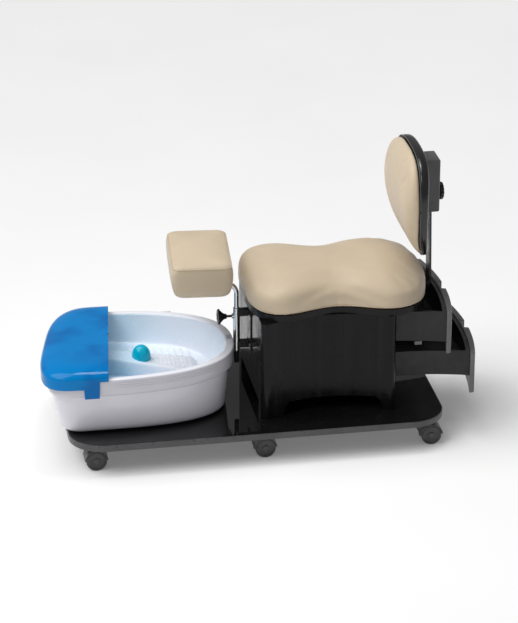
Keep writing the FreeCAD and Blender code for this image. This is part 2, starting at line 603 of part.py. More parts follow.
def slanted_block(u0, u1, z0, z1):
    """Block across the bath between two lines that follow the slant."""
    reach = 260.0
    corners = [(skew(u, v), v, 0) for u, v in ((u0, -reach), (u1, -reach), (u1, reach), (u0, reach))]
    return prism(Part.makePolygon([V(*c) for c in corners + corners[:1]]), z0, z1)


def placed_bath(shape):
    placed = shape.copy()
    placed.rotate(V(0, 0, 0), UP, BATH_YAW)
    placed.translate(V(BATH_X, BATH_Y, 0))
    return placed


def slope_z(u, left, right):
    t = (u + BATH_LEFT) / (BATH_LEFT + BATH_RIGHT)
    return left + (right - left) * t


def above_slope(left, right, drop=0.0):
    """Everything above a plane that falls from left to right along u."""
    u0, u1 = -BATH_LEFT - 20, BATH_RIGHT + 20
    z0, z1 = slope_z(u0, left, right) - drop, slope_z(u1, left, right) - drop
    side = Part.makePolygon([V(u0, -260, z0), V(u1, -260, z1), V(u1, -260, 300), V(u0, -260, 300),
                             V(u0, -260, z0)])
    return Part.Face(side).extrude(V(0, 520, 0))


def foot_bath_shell():
    body = loft([bath_section(inset, z) for z, inset in BATH_BODY])
    skirt = Part.makeLoft([bath_section(2.5, BATH_STEP), bath_section(0, BATH_STEP + 6),
                           bath_section(0, BATH_RIM - 4), bath_section(1.2, BATH_RIM)], True, True)
    hollow = [(max(z, BATH_BOTTOM + BATH_WALL), tuple(i + BATH_WALL for i in inset)) for z, inset in BATH_BODY]
    room = loft([bath_section(inset, z) for z, inset in hollow]
                + [bath_section(6 + BATH_WALL, BATH_RIM - BATH_WALL)])
    mouth = prism(basin_section(0, 0), BATH_RIM - 8, BATH_RIM + 1)
    shell = body.fuse(skirt).cut(room).cut(mouth)
    bw, bd = BUTTON_SIZE
    pocket = box(BUTTON_U - bw / 2, BUTTON_U + bw / 2, -bd / 2, bd / 2, BATH_RIM - 7.5, BATH_RIM + 2)
    gland_hole = cylinder(6.2, 20, (90, 182, 112), (0, -1, 0))
    return shell.cut(pocket).cut(gland_hole)


def foot_bath_basin():
    outer = loft([basin_section(BASIN_DRAFT, 140), basin_section(0.15, BATH_RIM)])
    outer = outer.common(above_slope(BASIN_FLOOR_LEFT, BASIN_FLOOR_RIGHT, BATH_WALL))
    inner = loft([basin_section(BASIN_DRAFT + BATH_WALL, 140), basin_section(BATH_WALL - 0.4, BATH_RIM + 2)])
    inner = inner.common(above_slope(BASIN_FLOOR_LEFT, BASIN_FLOOR_RIGHT))
    return outer.cut(inner)


def bath_ridge():
    """Central foot divider that falls and widens towards the nose."""
    start, end = RIDGE_HALF
    plan = Part.makePolygon([V(RIDGE_START, -start, 0), V(RIDGE_END, -end, 0), V(RIDGE_END, end, 0),
                             V(RIDGE_START, start, 0), V(RIDGE_START, -start, 0)])
    block = Part.Face(plan).extrude(V(0, 0, 300))
    block = block.common(above_slope(BASIN_FLOOR_LEFT, BASIN_FLOOR_RIGHT))
    slope_top = above_slope(RIDGE_TOP_LEFT, RIDGE_TOP_RIGHT)
    return block.cut(slope_top)


def foot_bath():
    ridge_top = slope_z(DOME_U, RIDGE_TOP_LEFT, RIDGE_TOP_RIGHT)
    seat_z = ridge_top - 2.0
    collar = cylinder(DOME_RADIUS + 2.7, 14, (DOME_U, 0, seat_z - 14))
    ridge = bath_ridge().fuse(collar).cut(cylinder(DOME_RADIUS + 1.5, 60, (DOME_U, 0, seat_z)))
    dome = Part.makeSphere(DOME_RADIUS, V(DOME_U, 0, 0), UP, 0, 90, 360)
    stretch = FreeCAD.Matrix()
    stretch.scale(1, 1, DOME_HEIGHT / DOME_RADIUS)
    dome = dome.transformGeometry(stretch)
    dome.translate(V(0, 0, seat_z + 0.3))
    feet = [cylinder(12, BATH_BOTTOM - BATH_FEET, (skew(u, v), v, BATH_FEET))
            for u, v in ((-40, -105), (-40, 105), (200, -90), (200, 90))]
    motor = box(-50, 55, -48, 48, BATH_BOTTOM + BATH_WALL, 138)
    motor = motor.makeFillet(8, [e for e in motor.Edges if abs(e.BoundBox.ZLength - 50.7) < 0.2])
    bw, bd = BUTTON_SIZE
    button = box(BUTTON_U - bw / 2 + 0.4, BUTTON_U + bw / 2 - 0.4, -bd / 2 + 0.4, bd / 2 - 0.4,
                 BATH_RIM - 5.0, BATH_RIM + 2.5)
    button = button.makeFillet(1.2, [e for e in button.Edges if e.BoundBox.ZMin > BATH_RIM])
    gland = cylinder(6, 18, (90, 187, 112), (0, -1, 0)).fuse(cylinder(9, 5, (90, 184, 112), (0, 1, 0)))
    grip = box(186, 224, 0, 14, BATH_RIM - 24, BATH_RIM - 3)
    grip = grip.makeFillet(3, grip.Edges)
    grip.translate(V(0, 173.5, 0))
    shell = foot_bath_shell()
    grip = grip.cut(shell)
    save("bath_shell", [placed_bath(shell)])
    save("bath_basin", [placed_bath(foot_bath_basin())])
    save("bath_ridge", [placed_bath(ridge)])
    save("bath_feet", [placed_bath(f) for f in feet])
    save("bath_motor", [placed_bath(motor)])
    save("bath_button", [placed_bath(button)])
    save("bath_cord_gland", [placed_bath(gland)])
    save("bath_side_grip", [placed_bath(max(grip.Solids, key=lambda s: s.Volume))])
    save("massage_dome", [placed_bath(dome)])


def splash_cover():
    """Translucent hood over the broad end: skirt, upright sides, rounded flat top, two tabs."""
    gap, step = 1.4, BATH_RIM + 4

    def flared(inset, flare):
        return (inset - flare, inset, inset)

    rows = [(-gap, step, COVER_FLARE), (2 + COVER_WALL, BATH_RIM + 15.5, 0.8 * COVER_FLARE),
            (13, COVER_TOP - 4.6, 0.5 * COVER_FLARE), (25, COVER_TOP - COVER_WALL, 0.4 * COVER_FLARE)]
    outer = prism(bath_section(flared(-gap - COVER_WALL, COVER_FLARE), 0), BATH_RIM - 20, step)
    outer = outer.fuse(loft([bath_section(flared(-gap - COVER_WALL, COVER_FLARE), step),
                             bath_section(flared(2, 0.8 * COVER_FLARE), BATH_RIM + 17),
                             bath_section(flared(11, 0.5 * COVER_FLARE), COVER_TOP - 2),
                             bath_section(flared(24, 0.4 * COVER_FLARE), COVER_TOP)]))
    inner = prism(bath_section(flared(-gap, COVER_FLARE), 0), BATH_RIM - 21, step)
    inner = inner.fuse(loft([bath_section(flared(inset, flare), z) for inset, z, flare in rows]))
    hood = outer.cut(inner).common(slanted_block(-200, COVER_EDGE_U, 150, 300))
    hood = hood.cut(slanted_block(TAB_RANGE[1] - 0.5, 200, 150, BATH_RIM - 2))
    tabs = []
    for side in (-1, 1):
        y0, y1 = sorted((side * (BATH_HALF + gap + 0.4), side * (BATH_HALF + gap + COVER_WALL + 1)))
        u0, u1 = (skew(u, side * BATH_HALF) for u in TAB_RANGE)
        tabs.append(box(u0, u1, y0, y1, TAB_DROP, BATH_RIM - 4))
    for tab in tabs:
        hood = hood.fuse(tab)
    return hood


# ---------------------------------------------------------------- build
os.makedirs("parts", exist_ok=True)
deck()
caster_plates()
for number, (cx, cy) in enumerate(caster_places(), 1):
    caster(number, cx, cy)
cabinet()
cabinet_feet()
drawer_runners()
drawers()
seat()
backrest()
footrest()
foot_bath()
save("splash_cover", [placed_bath(splash_cover())])
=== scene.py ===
"""Looks for the wheeled pedicure work seat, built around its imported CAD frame.

Metres, in the CAD's row frame. Millimetre dimensions are turned into metres by MM.
"""
import bpy
import bmesh
import math
import numpy as np
from mathutils import Vector, Matrix

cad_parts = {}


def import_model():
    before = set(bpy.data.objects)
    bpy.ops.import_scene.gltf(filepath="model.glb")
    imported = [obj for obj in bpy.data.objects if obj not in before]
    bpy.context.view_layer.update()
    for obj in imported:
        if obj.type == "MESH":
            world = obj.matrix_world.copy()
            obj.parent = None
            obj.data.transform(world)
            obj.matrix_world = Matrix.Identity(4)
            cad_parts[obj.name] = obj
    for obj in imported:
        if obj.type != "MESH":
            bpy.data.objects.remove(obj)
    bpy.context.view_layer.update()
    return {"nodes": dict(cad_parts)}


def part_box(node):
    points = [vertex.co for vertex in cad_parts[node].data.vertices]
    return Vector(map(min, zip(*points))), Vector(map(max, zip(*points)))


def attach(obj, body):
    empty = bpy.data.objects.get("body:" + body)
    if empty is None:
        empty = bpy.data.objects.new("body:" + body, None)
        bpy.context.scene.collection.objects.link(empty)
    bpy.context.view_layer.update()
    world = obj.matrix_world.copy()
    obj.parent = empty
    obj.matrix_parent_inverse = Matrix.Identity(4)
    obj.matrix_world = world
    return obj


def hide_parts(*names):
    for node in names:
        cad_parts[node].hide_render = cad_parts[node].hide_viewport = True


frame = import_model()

MM = 0.001


# ---------------------------------------------------------------- places read from the CAD
def middle(node):
    lo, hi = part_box(node)
    return (lo + hi) / 2


DECK_X = middle("base_edge_band").x
POST = Vector((middle("footrest_post_cap").x, 0, 0))
BATH_U = (middle("bath_button") - middle("massage_dome")).to_2d().normalized()
DOME_FROM_CENTRE = 127 * MM
BATH_CENTRE = middle("massage_dome").to_2d() - BATH_U * DOME_FROM_CENTRE


def cart(x, y=0.0, z=0.0):
    """A point given in millimetres from the deck's centre."""
    return Vector((x * MM + DECK_X, y * MM, z * MM))


def bath(u, v, z):
    """A point given in millimetres along and across the foot bath."""
    p = BATH_CENTRE + BATH_U * (u * MM) + Vector((-BATH_U.y, BATH_U.x)) * (v * MM)
    return Vector((p.x, p.y, z * MM))


def turned(point, pivot, degrees):
    return pivot + Matrix.Rotation(math.radians(degrees), 3, "Z") @ (point - pivot)


# ---------------------------------------------------------------- material nodes
class Nodes:
    """Small helper that builds one node material."""

    def __init__(self, name):
        self.material = bpy.data.materials.new(name)
        self.material.use_nodes = True
        self.tree = self.material.node_tree
        self.shader = self.tree.nodes["Principled BSDF"]
        self.coords = self.tree.nodes.new("ShaderNodeTexCoord").outputs["Object"]

    def node(self, kind, **values):
        made = self.tree.nodes.new("ShaderNode" + kind)
        for key, value in values.items():
            setattr(made, key, value)
        return made

    def link(self, a, b):
        self.tree.links.new(a, b)

    def noise(self, scale, detail=3.0, stretch=(1, 1, 1), rough=0.5):
        mapping = self.node("Mapping")
        mapping.inputs["Scale"].default_value = stretch
        self.link(self.coords, mapping.inputs["Vector"])
        made = self.node("TexNoise")
        made.inputs["Scale"].default_value = scale
        made.inputs["Detail"].default_value = detail
        made.inputs["Roughness"].default_value = rough
        self.link(mapping.outputs["Vector"], made.inputs["Vector"])
        return made.outputs["Fac"]

    def cells(self, scale):
        made = self.node("TexVoronoi", feature="F1")
        made.inputs["Scale"].default_value = scale
        self.link(self.coords, made.inputs["Vector"])
        return made.outputs["Distance"]

    def range(self, source, low, high, start=0.3, end=0.7):
        made = self.node("MapRange", interpolation_type="SMOOTHSTEP")
        for key, value in (("From Min", start), ("From Max", end), ("To Min", low), ("To Max", high)):
            made.inputs[key].default_value = value
        self.link(source, made.inputs["Value"])
        return made.outputs["Result"]

    def mix(self, factor, a, b):
        made = self.node("Mix", data_type="RGBA")
        self.link(factor, made.inputs["Factor"])
        for socket, value in ((6, a), (7, b)):
            if isinstance(value, tuple):
                made.inputs[socket].default_value = (*value, 1)
            else:
                self.link(value, made.inputs[socket])
        return made.outputs[2]

    def math(self, operation, a, b):
        made = self.node("Math", operation=operation)
        for socket, value in enumerate((a, b)):
            if isinstance(value, (int, float)):
                made.inputs[socket].default_value = value
            else:
                self.link(value, made.inputs[socket])
        return made.outputs[0]

    def bump(self, height, distance, strength=1.0, after=None):
        made = self.node("Bump")
        made.inputs["Strength"].default_value = strength
        made.inputs["Distance"].default_value = distance
        self.link(height, made.inputs["Height"])
        if after is not None:
            self.link(after, made.inputs["Normal"])
        return made.outputs["Normal"]

    def along(self, axis):
        made = self.node("SeparateXYZ")
        self.link(self.coords, made.inputs[0])
        return made.outputs[axis]

    def edges(self, low, high):
        """Convex-edge mask for worn edges and painted edge highlights: 1 on convex edges, 0 elsewhere."""
        made = self.node("NewGeometry")
        return self.range(made.outputs["Pointiness"], 0.0, 1.0, low, high)

    def set(self, **values):
        for key, value in values.items():
            socket = self.shader.inputs[key.replace("_", " ")]
            if isinstance(value, bpy.types.NodeSocket):
                self.link(value, socket)
            else:
                socket.default_value = value


def shade(colour, factor):
    return tuple(min(1.0, c * factor) for c in colour)


def plastic(name, colour, roughness, spread=0.06, coat=0.0, grain=900.0, depth=0.00004, edge_wear_and_highlight=0.0,
            shine=0.5, streak_and_painted_reflection=None):
    """Moulded or painted surface with mottling, fine grain and lighter edges, partly worn and partly a
    painted edge highlight.

    The streak tuple is (scale, added roughness, tone) of faint upright streaks; the tone lightens them as a
    painted reflection.
    """
    n = Nodes(name)
    mottle = n.noise(22.0, 4.0)
    base = n.mix(n.range(mottle, 0, 1), shade(colour, 1 - spread), shade(colour, 1 + spread))
    # Convex edges lightened: partly wear, partly a painted edge highlight.
    if edge_wear_and_highlight:
        base = n.mix(n.math("MULTIPLY", n.edges(0.52, 0.62), edge_wear_and_highlight), base, shade(colour, 2.4))
    gloss = n.range(n.noise(60.0, 4.0), roughness * 0.8, roughness * 1.25)
    # Upright streaks: rougher, and lighter in colour as a painted reflection.
    if streak_and_painted_reflection:
        lines = n.noise(streak_and_painted_reflection[0], 3.0, (1, 1, 0.02))
        gloss = n.math("ADD", gloss, n.range(lines, 0.0, streak_and_painted_reflection[1], 0.35, 0.75))
        base = n.mix(n.range(lines, 0, 1, 0.35, 0.75), base, shade(colour, streak_and_painted_reflection[2]))
    n.set(Base_Color=base, Roughness=gloss, Normal=n.bump(n.noise(grain, 2.0), depth, 0.5),
          Coat_Weight=coat, Coat_Roughness=0.04, Specular_IOR_Level=shine)
    return n.material


def metal(name, colour, roughness, brushed=(1, 1, 1)):
    n = Nodes(name)
    lines = n.noise(500.0, 3.0, brushed)
    base = n.mix(n.range(n.noise(30.0), 0, 1), shade(colour, 0.88), colour)
    base = n.mix(n.math("MULTIPLY", n.edges(0.53, 0.65), 0.2), base, shade(colour, 1.5))
    n.set(Base_Color=base, Metallic=1.0, Roughness=n.range(lines, roughness * 0.7, roughness * 1.4),
          Normal=n.bump(lines, 0.00003, 0.4))
    return n.material


def leatherette(name, colour, painted_shade_bands=()):
    """Coated upholstery: pebbled grain, faint creases, soft sheen and tone drift.

    Each band is (axis, where it starts, where it is full, tone) of an end darkened by painted shade.
    """
    n = Nodes(name)
    pebbles = n.cells(620.0)
    drift = n.noise(9.0, 3.0)
    base = n.mix(n.range(drift, 0, 1), shade(colour, 0.965), shade(colour, 1.03))
    base = n.mix(n.range(pebbles, 0.35, 0.0, 0.0, 0.5), base, shade(colour, 0.86))
    # Painted shade: each band darkens one end of the cover.
    for axis, start, end, tone in painted_shade_bands:
        painted_shade_mask = n.range(n.along(axis), 0.0, 1.0, min(start, end), max(start, end))
        if start > end:
            painted_shade_mask = n.math("SUBTRACT", 1.0, painted_shade_mask)
        dark = n.mix(n.range(drift, 0, 1), shade(colour, tone), shade(colour, tone * 1.05))
        base = n.mix(painted_shade_mask, base, dark)
    creases = n.noise(140.0, 5.0, (1, 1, 1), 0.7)
    first = n.bump(creases, 0.00018, 0.35)
    grain = n.bump(pebbles, 0.00010, 0.45, first)
    n.set(Base_Color=base, Roughness=n.range(n.noise(75.0, 4.0), 0.46, 0.60), Normal=grain,
          Sheen_Weight=0.12, Sheen_Roughness=0.5, Specular_IOR_Level=0.42)
    return n.material


BEIGE = (0.600, 0.492, 0.352)
M = {
    "deck": plastic("deck_gloss_black", (0.006, 0.006, 0.0065), 0.045, 0.10, grain=240.0, depth=0.00001),
    "band": plastic("edge_band_grey", (0.060, 0.060, 0.062), 0.32, 0.12, grain=1100.0),
    "caster": plastic("caster_plastic_grey", (0.045, 0.045, 0.046), 0.38, 0.12, edge_wear_and_highlight=0.3),
    "tread": plastic("wheel_tread_rubber", (0.058, 0.058, 0.060), 0.62, 0.18, grain=1400.0,
                     depth=0.00012),
    # The cabinet's light upright streaks are a painted reflection.
    "cabinet": plastic("cabinet_gloss_charcoal", (0.0050, 0.0050, 0.0054), 0.18, 0.12, grain=160.0,
                       depth=0.00003, edge_wear_and_highlight=0.12, streak_and_painted_reflection=(55.0, 0.10, 1.9), shine=0.16),
    # The drawer's strong edge lightening is mostly a painted highlight on its top-lit rims, and its light
    # streaks are a painted reflection.
    "drawer": plastic("drawer_moulding_dark", (0.019, 0.019, 0.0195), 0.36, 0.14, edge_wear_and_highlight=0.9,
                      shine=0.3, streak_and_painted_reflection=(60.0, 0.06, 1.3)),
    "front": plastic("drawer_front_grey", (0.115, 0.115, 0.117), 0.34, 0.07, edge_wear_and_highlight=0.3),
    "tray": plastic("seat_tray_black", (0.006, 0.006, 0.0063), 0.30, 0.12, edge_wear_and_highlight=0.4, shine=0.2),
    "carrier": plastic("carrier_black_plastic", (0.060, 0.060, 0.061), 0.34, 0.12, edge_wear_and_highlight=0.35),
    "back_shell": plastic("back_shell_black_gloss", (0.012, 0.012, 0.013), 0.20, 0.12, edge_wear_and_highlight=0.4),
    "knob": plastic("knob_black_plastic", (0.009, 0.009, 0.0093), 0.33, 0.12, edge_wear_and_highlight=0.3, shine=0.3),
    "rubber": plastic("foot_rubber", (0.020, 0.020, 0.021), 0.72, 0.15, depth=0.0001),
    "button": plastic("button_lavender", (0.50, 0.47, 0.62), 0.35, 0.03),
    "dome": plastic("dome_teal_gloss", (0.0, 0.420, 0.600), 0.14, 0.04, coat=0.25, grain=140.0,
                    depth=0.00002, shine=0.25),
    "motor": plastic("motor_case_grey", (0.11, 0.11, 0.115), 0.45, 0.1),
    "zinc": metal("zinc_plate", (0.52, 0.52, 0.54), 0.32),
    "pin": metal("steel_pin", (0.46, 0.46, 0.47), 0.28),
    "chrome": metal("post_chrome", (0.66, 0.66, 0.67), 0.16, (1, 1, 0.05)),
    # The bar's light upright streaks are a painted reflection.
    "bar": plastic("bar_painted_steel", (0.016, 0.0155, 0.0155), 0.28, 0.12, edge_wear_and_highlight=0.5,
                   streak_and_painted_reflection=(90.0, 0.05, 1.4)),
    "leather": leatherette("beige_leatherette", BEIGE),
    # Painted shade on the seat's left end and rear third, and on the footrest pad's near face.
    "seat_leather": leatherette("beige_leatherette_seat", shade(BEIGE, 0.97),
                                (("X", cart(70).x, cart(-15).x, 0.80),
                                 ("X", cart(290).x, cart(420).x, 0.72))),
    "foot_leather": leatherette("beige_leatherette_foot", BEIGE, (("Y", -0.095, -0.125, 0.74),)),
    "piping": leatherette("beige_piping", shade(BEIGE, 0.86)),
}


def plywood():
    n = Nodes("plywood_board")
    rings = n.noise(14.0, 5.0, (0.12, 1, 1))
    base = n.mix(n.range(rings, 0, 1), (0.30, 0.19, 0.10), (0.46, 0.32, 0.18))
    n.set(Base_Color=base, Roughness=n.range(n.noise(90.0), 0.55, 0.75),
          Normal=n.bump(rings, 0.0002, 0.4))
    return n.material


def bath_white():
    """Glossy moulding, with painted shade darkening its skirt and a painted highlight brightening its rim.
    """
    n = Nodes("bath_white_gloss")
    drift = n.range(n.noise(12.0), 0, 1)
    body = n.mix(drift, (0.700, 0.690, 0.752), (0.730, 0.720, 0.780))
    # Painted shade: the skirt is given a darker white than the body below it.
    skirt = n.mix(drift, (0.585, 0.578, 0.635), (0.610, 0.602, 0.655))
    side = n.mix(n.range(n.along("Z"), 0, 1, 0.1885, 0.1945), body, skirt)
    # Painted highlight: the top of the rim is given a brighter, bluer white.
    base = n.mix(n.range(n.along("Z"), 0, 1, 0.2310, 0.2346), side, (0.86, 0.875, 0.94))
    n.set(Base_Color=base, Roughness=n.range(n.noise(60.0, 4.0), 0.17, 0.26), Coat_Weight=0.2,
          Coat_Roughness=0.05, Normal=n.bump(n.noise(120.0), 0.00002, 0.5))
    return n.material


def ridge_white():
    """The foot divider: painted light tinted blue by the cover and basin at its broad end, whiter towards
    the nose.
    """
    n = Nodes("bath_divider_white")
    fade = n.range(n.along("X"), 0, 1, bath(20, 0, 0).x, bath(190, 0, 0).x)
    # Painted light: the blue end stands in for light coloured by the cover.
    base = n.mix(fade, (0.52, 0.80, 0.98), (0.80, 0.83, 0.91))
    n.set(Base_Color=base, Roughness=n.range(n.noise(60.0, 4.0), 0.18, 0.30), Coat_Weight=0.15,
          Coat_Roughness=0.05, Normal=n.bump(n.noise(140.0), 0.00003, 0.5))
    return n.material


def basin_blue():
    """Pale blue, deepened and brightened under the cover by painted blue light, fading to a cool white
    painted highlight at the nose.
    """
    n = Nodes("basin_pale_blue")
    left, right = bath(-60, 0, 0).x, bath(260, 0, 0).x
    fade = n.range(n.along("X"), 0, 1, left, right)
    # Painted light: the deep blue under the cover stands in for light tinted by the cover; the whiter nose
    # is a painted highlight.
    cover_lit_blue = n.mix(n.range(n.noise(14.0), 0, 1), (0.44, 0.79, 0.99), (0.48, 0.81, 1.0))
    base = n.mix(fade, cover_lit_blue, (0.84, 0.90, 0.99))
    n.set(Base_Color=base, Roughness=n.range(n.noise(60.0), 0.16, 0.28),
          Normal=n.bump(n.noise(150.0), 0.00003, 0.4), Coat_Weight=0.2, Coat_Roughness=0.05)
    return n.material


def cover_blue():
    """Tinted moulding, nearly opaque, deeper in colour where it is seen edge on."""
    n = Nodes("cover_clear_blue")
    facing = n.node("LayerWeight")
    facing.inputs["Blend"].default_value = 0.35
    edge = facing.outputs["Facing"]
    mottle = n.range(n.noise(9.0, 2.0), 0, 1, 0.38, 0.62)
    face = n.mix(mottle, (0.0, 0.138, 0.430), (0.0, 0.205, 0.550))
    base = n.mix(n.range(edge, 0, 1, 0.60, 0.98), face, (0.0, 0.060, 0.300))
    n.set(Base_Color=base, Roughness=n.range(n.noise(45.0), 0.07, 0.13), Alpha=0.99,
          Coat_Weight=0.22, Coat_Roughness=0.03, Specular_IOR_Level=0.06,
          Normal=n.bump(n.noise(70.0), 0.00006, 0.3))
    return n.material


M["white"] = bath_white()
M["ridge"] = ridge_white()
M["plywood"] = plywood()
M["basin"] = basin_blue()
M["cover"] = cover_blue()


# ---------------------------------------------------------------- carried-over CAD nodes
BEVEL_SEGMENTS, BEVEL_FROM = 3, math.radians(32.0)
COPLANAR = math.radians(0.6)


def modify(piece, name, kind, **values):
    """Adds a modifier with the given settings."""
    made = piece.modifiers.new(name, kind)
    for key, value in values.items():
        setattr(made, key, value)
    return made


def finish_cad(node, material, bevel=0.0):
    """Gives a CAD node its material and, where asked, softened edges."""
    piece = frame["nodes"][node]
    piece.data.materials.clear()
    piece.data.materials.append(M[material])
    for polygon in piece.data.polygons:
        polygon.material_index = 0
    if bevel:
        modify(piece, "weld", "WELD", merge_threshold=0.00001)
        modify(piece, "flat", "DECIMATE", decimate_type="DISSOLVE", angle_limit=COPLANAR)
        modify(piece, "edge", "BEVEL", width=bevel * MM, segments=BEVEL_SEGMENTS, limit_method="ANGLE",
               angle_limit=BEVEL_FROM, harden_normals=True, miter_outer="MITER_ARC")
        modify(piece, "normals", "WEIGHTED_NORMAL", keep_sharp=False, weight=80)
    return piece


CAD_LOOKS = {
    "base_board": ("deck", 0), "base_edge_band": ("band", 0),
    "caster_plates": ("zinc", 0.4), "caster_screws": ("zinc", 0), "cabinet_screws": ("zinc", 0),
    "cabinet_lower_shell": ("cabinet", 1.0), "cabinet_upper_shell": ("cabinet", 1.0),
    "cabinet_feet": ("cabinet", 1.0), "drawer_runners": ("drawer", 0.5),
    "lower_drawer_box": ("drawer", 0.7), "upper_drawer_box": ("drawer", 0.7),
    "lower_drawer_front": ("front", 2.2), "upper_drawer_front": ("front", 2.2),
    "upper_drawer_guides": ("front", 0.8),
    "seat_tray": ("tray", 1.4), "seat_board": ("plywood", 0), "seat_screws": ("zinc", 0),
    "back_bar": ("bar", 0.8), "back_bar_bolts": ("zinc", 0), "back_carrier": ("carrier", 4.5),
    "footrest_post": ("chrome", 0), "footrest_post_cap": ("knob", 0), "footrest_sleeve": ("chrome", 0.6),
    "footrest_bracket": ("knob", 0.6), "footrest_bracket_screws": ("zinc", 0.4),
    "footrest_plate": ("knob", 0.6), "bath_feet": ("rubber", 0.6), "bath_motor": ("motor", 0),
    "bath_cord_gland": ("rubber", 0.5), "bath_side_grip": ("white", 0), "bath_button": ("button", 0),
}
for cad_node, (look, bevel_width) in CAD_LOOKS.items():
    finish_cad(cad_node, look, bevel_width)
for number in range(1, 7):
    finish_cad("caster_hood_%d" % number, "caster", 0.7)
    finish_cad("caster_pins_%d" % number, "pin")


# ---------------------------------------------------------------- mesh helpers
def new_piece(name, verts, faces, material):
    mesh = bpy.data.meshes.new(name)
    mesh.from_pydata([tuple(v) for v in verts], [], faces)
    mesh.validate()
    piece = bpy.data.objects.new(name, mesh)
    bpy.context.scene.collection.objects.link(piece)
    for item in (material if isinstance(material, (list, tuple)) else [material]):
        mesh.materials.append(M[item])
    bm = bmesh.new()
    bm.from_mesh(mesh)
    bmesh.ops.recalc_face_normals(bm, faces=bm.faces)
    bm.to_mesh(mesh)
    bm.free()
    for polygon in mesh.polygons:
        polygon.use_smooth = True
    return piece


def rings(ring_list, closed=True, start_cap=False, end_cap=False, loop=False):
    """Vertices and faces of a skin through rings of equal length."""
    verts = [p for ring in ring_list for p in ring]
    count, rows = len(ring_list[0]), len(ring_list)
    faces = []
    for i in range(rows if loop else rows - 1):
        a, b = i * count, ((i + 1) % rows) * count
        for k in range(count if closed else count - 1):
            m = (k + 1) % count
            faces.append((a + k, a + m, b + m, b + k))
    for wanted, row in ((start_cap, 0), (end_cap, rows - 1)):
        if wanted:
            centre = sum((Vector(p) for p in ring_list[row]), Vector()) / count
            verts.append(centre)
            tip, a = len(verts) - 1, row * count
            faces += [(a + k, a + (k + 1) % count, tip) for k in range(count)]
    return verts, faces


def merge(*parts):
    verts, faces = [], []
    for v, f in parts:
        base = len(verts)
        verts += list(v)
        faces += [tuple(i + base for i in face) for face in f]
    return verts, faces


def lathe(profile, place, segments=64, lobes=0, depth=0.0):
    """Skin of a (radius, height) profile about an axis; place() puts (a, b, height) in the row frame."""
    ring_list = []
    for radius, height in profile:
        ring = []
        for k in range(segments):
            t = 2 * math.pi * k / segments
            r = radius
            if lobes and radius > depth * 4:
                r -= depth * (0.5 - 0.5 * math.cos(lobes * t))
            ring.append(place(r * math.cos(t), r * math.sin(t), height))
        ring_list.append(ring)
    return rings(ring_list, True, profile[0][0] > 0, profile[-1][0] > 0)


def tube(points, radius, sides=10):
    """Round cord skin along a closed run of points, with a steady frame about +Z."""
    ring_list = []
    for i, p in enumerate(points):
        t = (points[(i + 1) % len(points)] - points[i - 1]).normalized()
        side = t.cross(Vector((0, 0, 1)))
        side = side.normalized() if side.length > 1e-6 else Vector((1, 0, 0))
        up = side.cross(t)
        ring_list.append([p + side * (radius * math.cos(a)) + up * (radius * math.sin(a))
                          for a in (2 * math.pi * k / sides for k in range(sides))])
    return rings(ring_list, loop=True)


def closed_spline(points, count):
    """Evenly spaced points on a smooth periodic curve through the given points."""
    p = np.array(points, float)
    n = len(p)
    chord = np.linalg.norm(np.roll(p, -1, 0) - p, axis=1)
    knots = np.concatenate([[0], np.cumsum(chord)])
    h = chord
    matrix = np.zeros((n, n))
    right = np.zeros((n, p.shape[1]))
    for i in range(n):
        j = (i + 1) % n
        matrix[i, i - 1] += h[i - 1]
        matrix[i, i] += 2 * (h[i - 1] + h[i])
        matrix[i, j] += h[i]
        right[i] = 6 * ((p[j] - p[i]) / h[i] - (p[i] - p[i - 1]) / h[i - 1])
    second = np.linalg.solve(matrix, right)

    def at(t):
        i = min(int(np.searchsorted(knots, t, "right")) - 1, n - 1)
        j, w = (i + 1) % n, t - knots[i]
        slope = (p[j] - p[i]) / h[i] - h[i] * (2 * second[i] + second[j]) / 6
        return p[i] + w * slope + w * w * second[i] / 2 + w ** 3 * (second[j] - second[i]) / (6 * h[i])

    fine = np.array([at(t) for t in np.linspace(0, knots[-1], count * 6, endpoint=False)])
    step = np.linalg.norm(np.roll(fine, -1, 0) - fine, axis=1)
    run = np.concatenate([[0], np.cumsum(step)])
    fine = np.vstack([fine, fine[:1]])
    wanted = np.linspace(0, run[-1], count, endpoint=False)
    return np.stack([np.interp(wanted, run, fine[:, k]) for k in range(p.shape[1])], 1)


def smooth_step(value, start, end):
    t = max(0.0, min(1.0, (value - start) / (end - start)))
    return t * t * (3 - 2 * t)


# ---------------------------------------------------------------- padded pieces
def shape_now(piece):
    """Vertex positions of a piece as its modifiers leave it."""
    solved = piece.evaluated_get(bpy.context.evaluated_depsgraph_get())
    mesh = solved.to_mesh()
    points = np.empty(len(mesh.vertices) * 3, np.float32)
    mesh.vertices.foreach_get("co", points)
    solved.to_mesh_clear()
    return points


FILL_FRAMES = 20


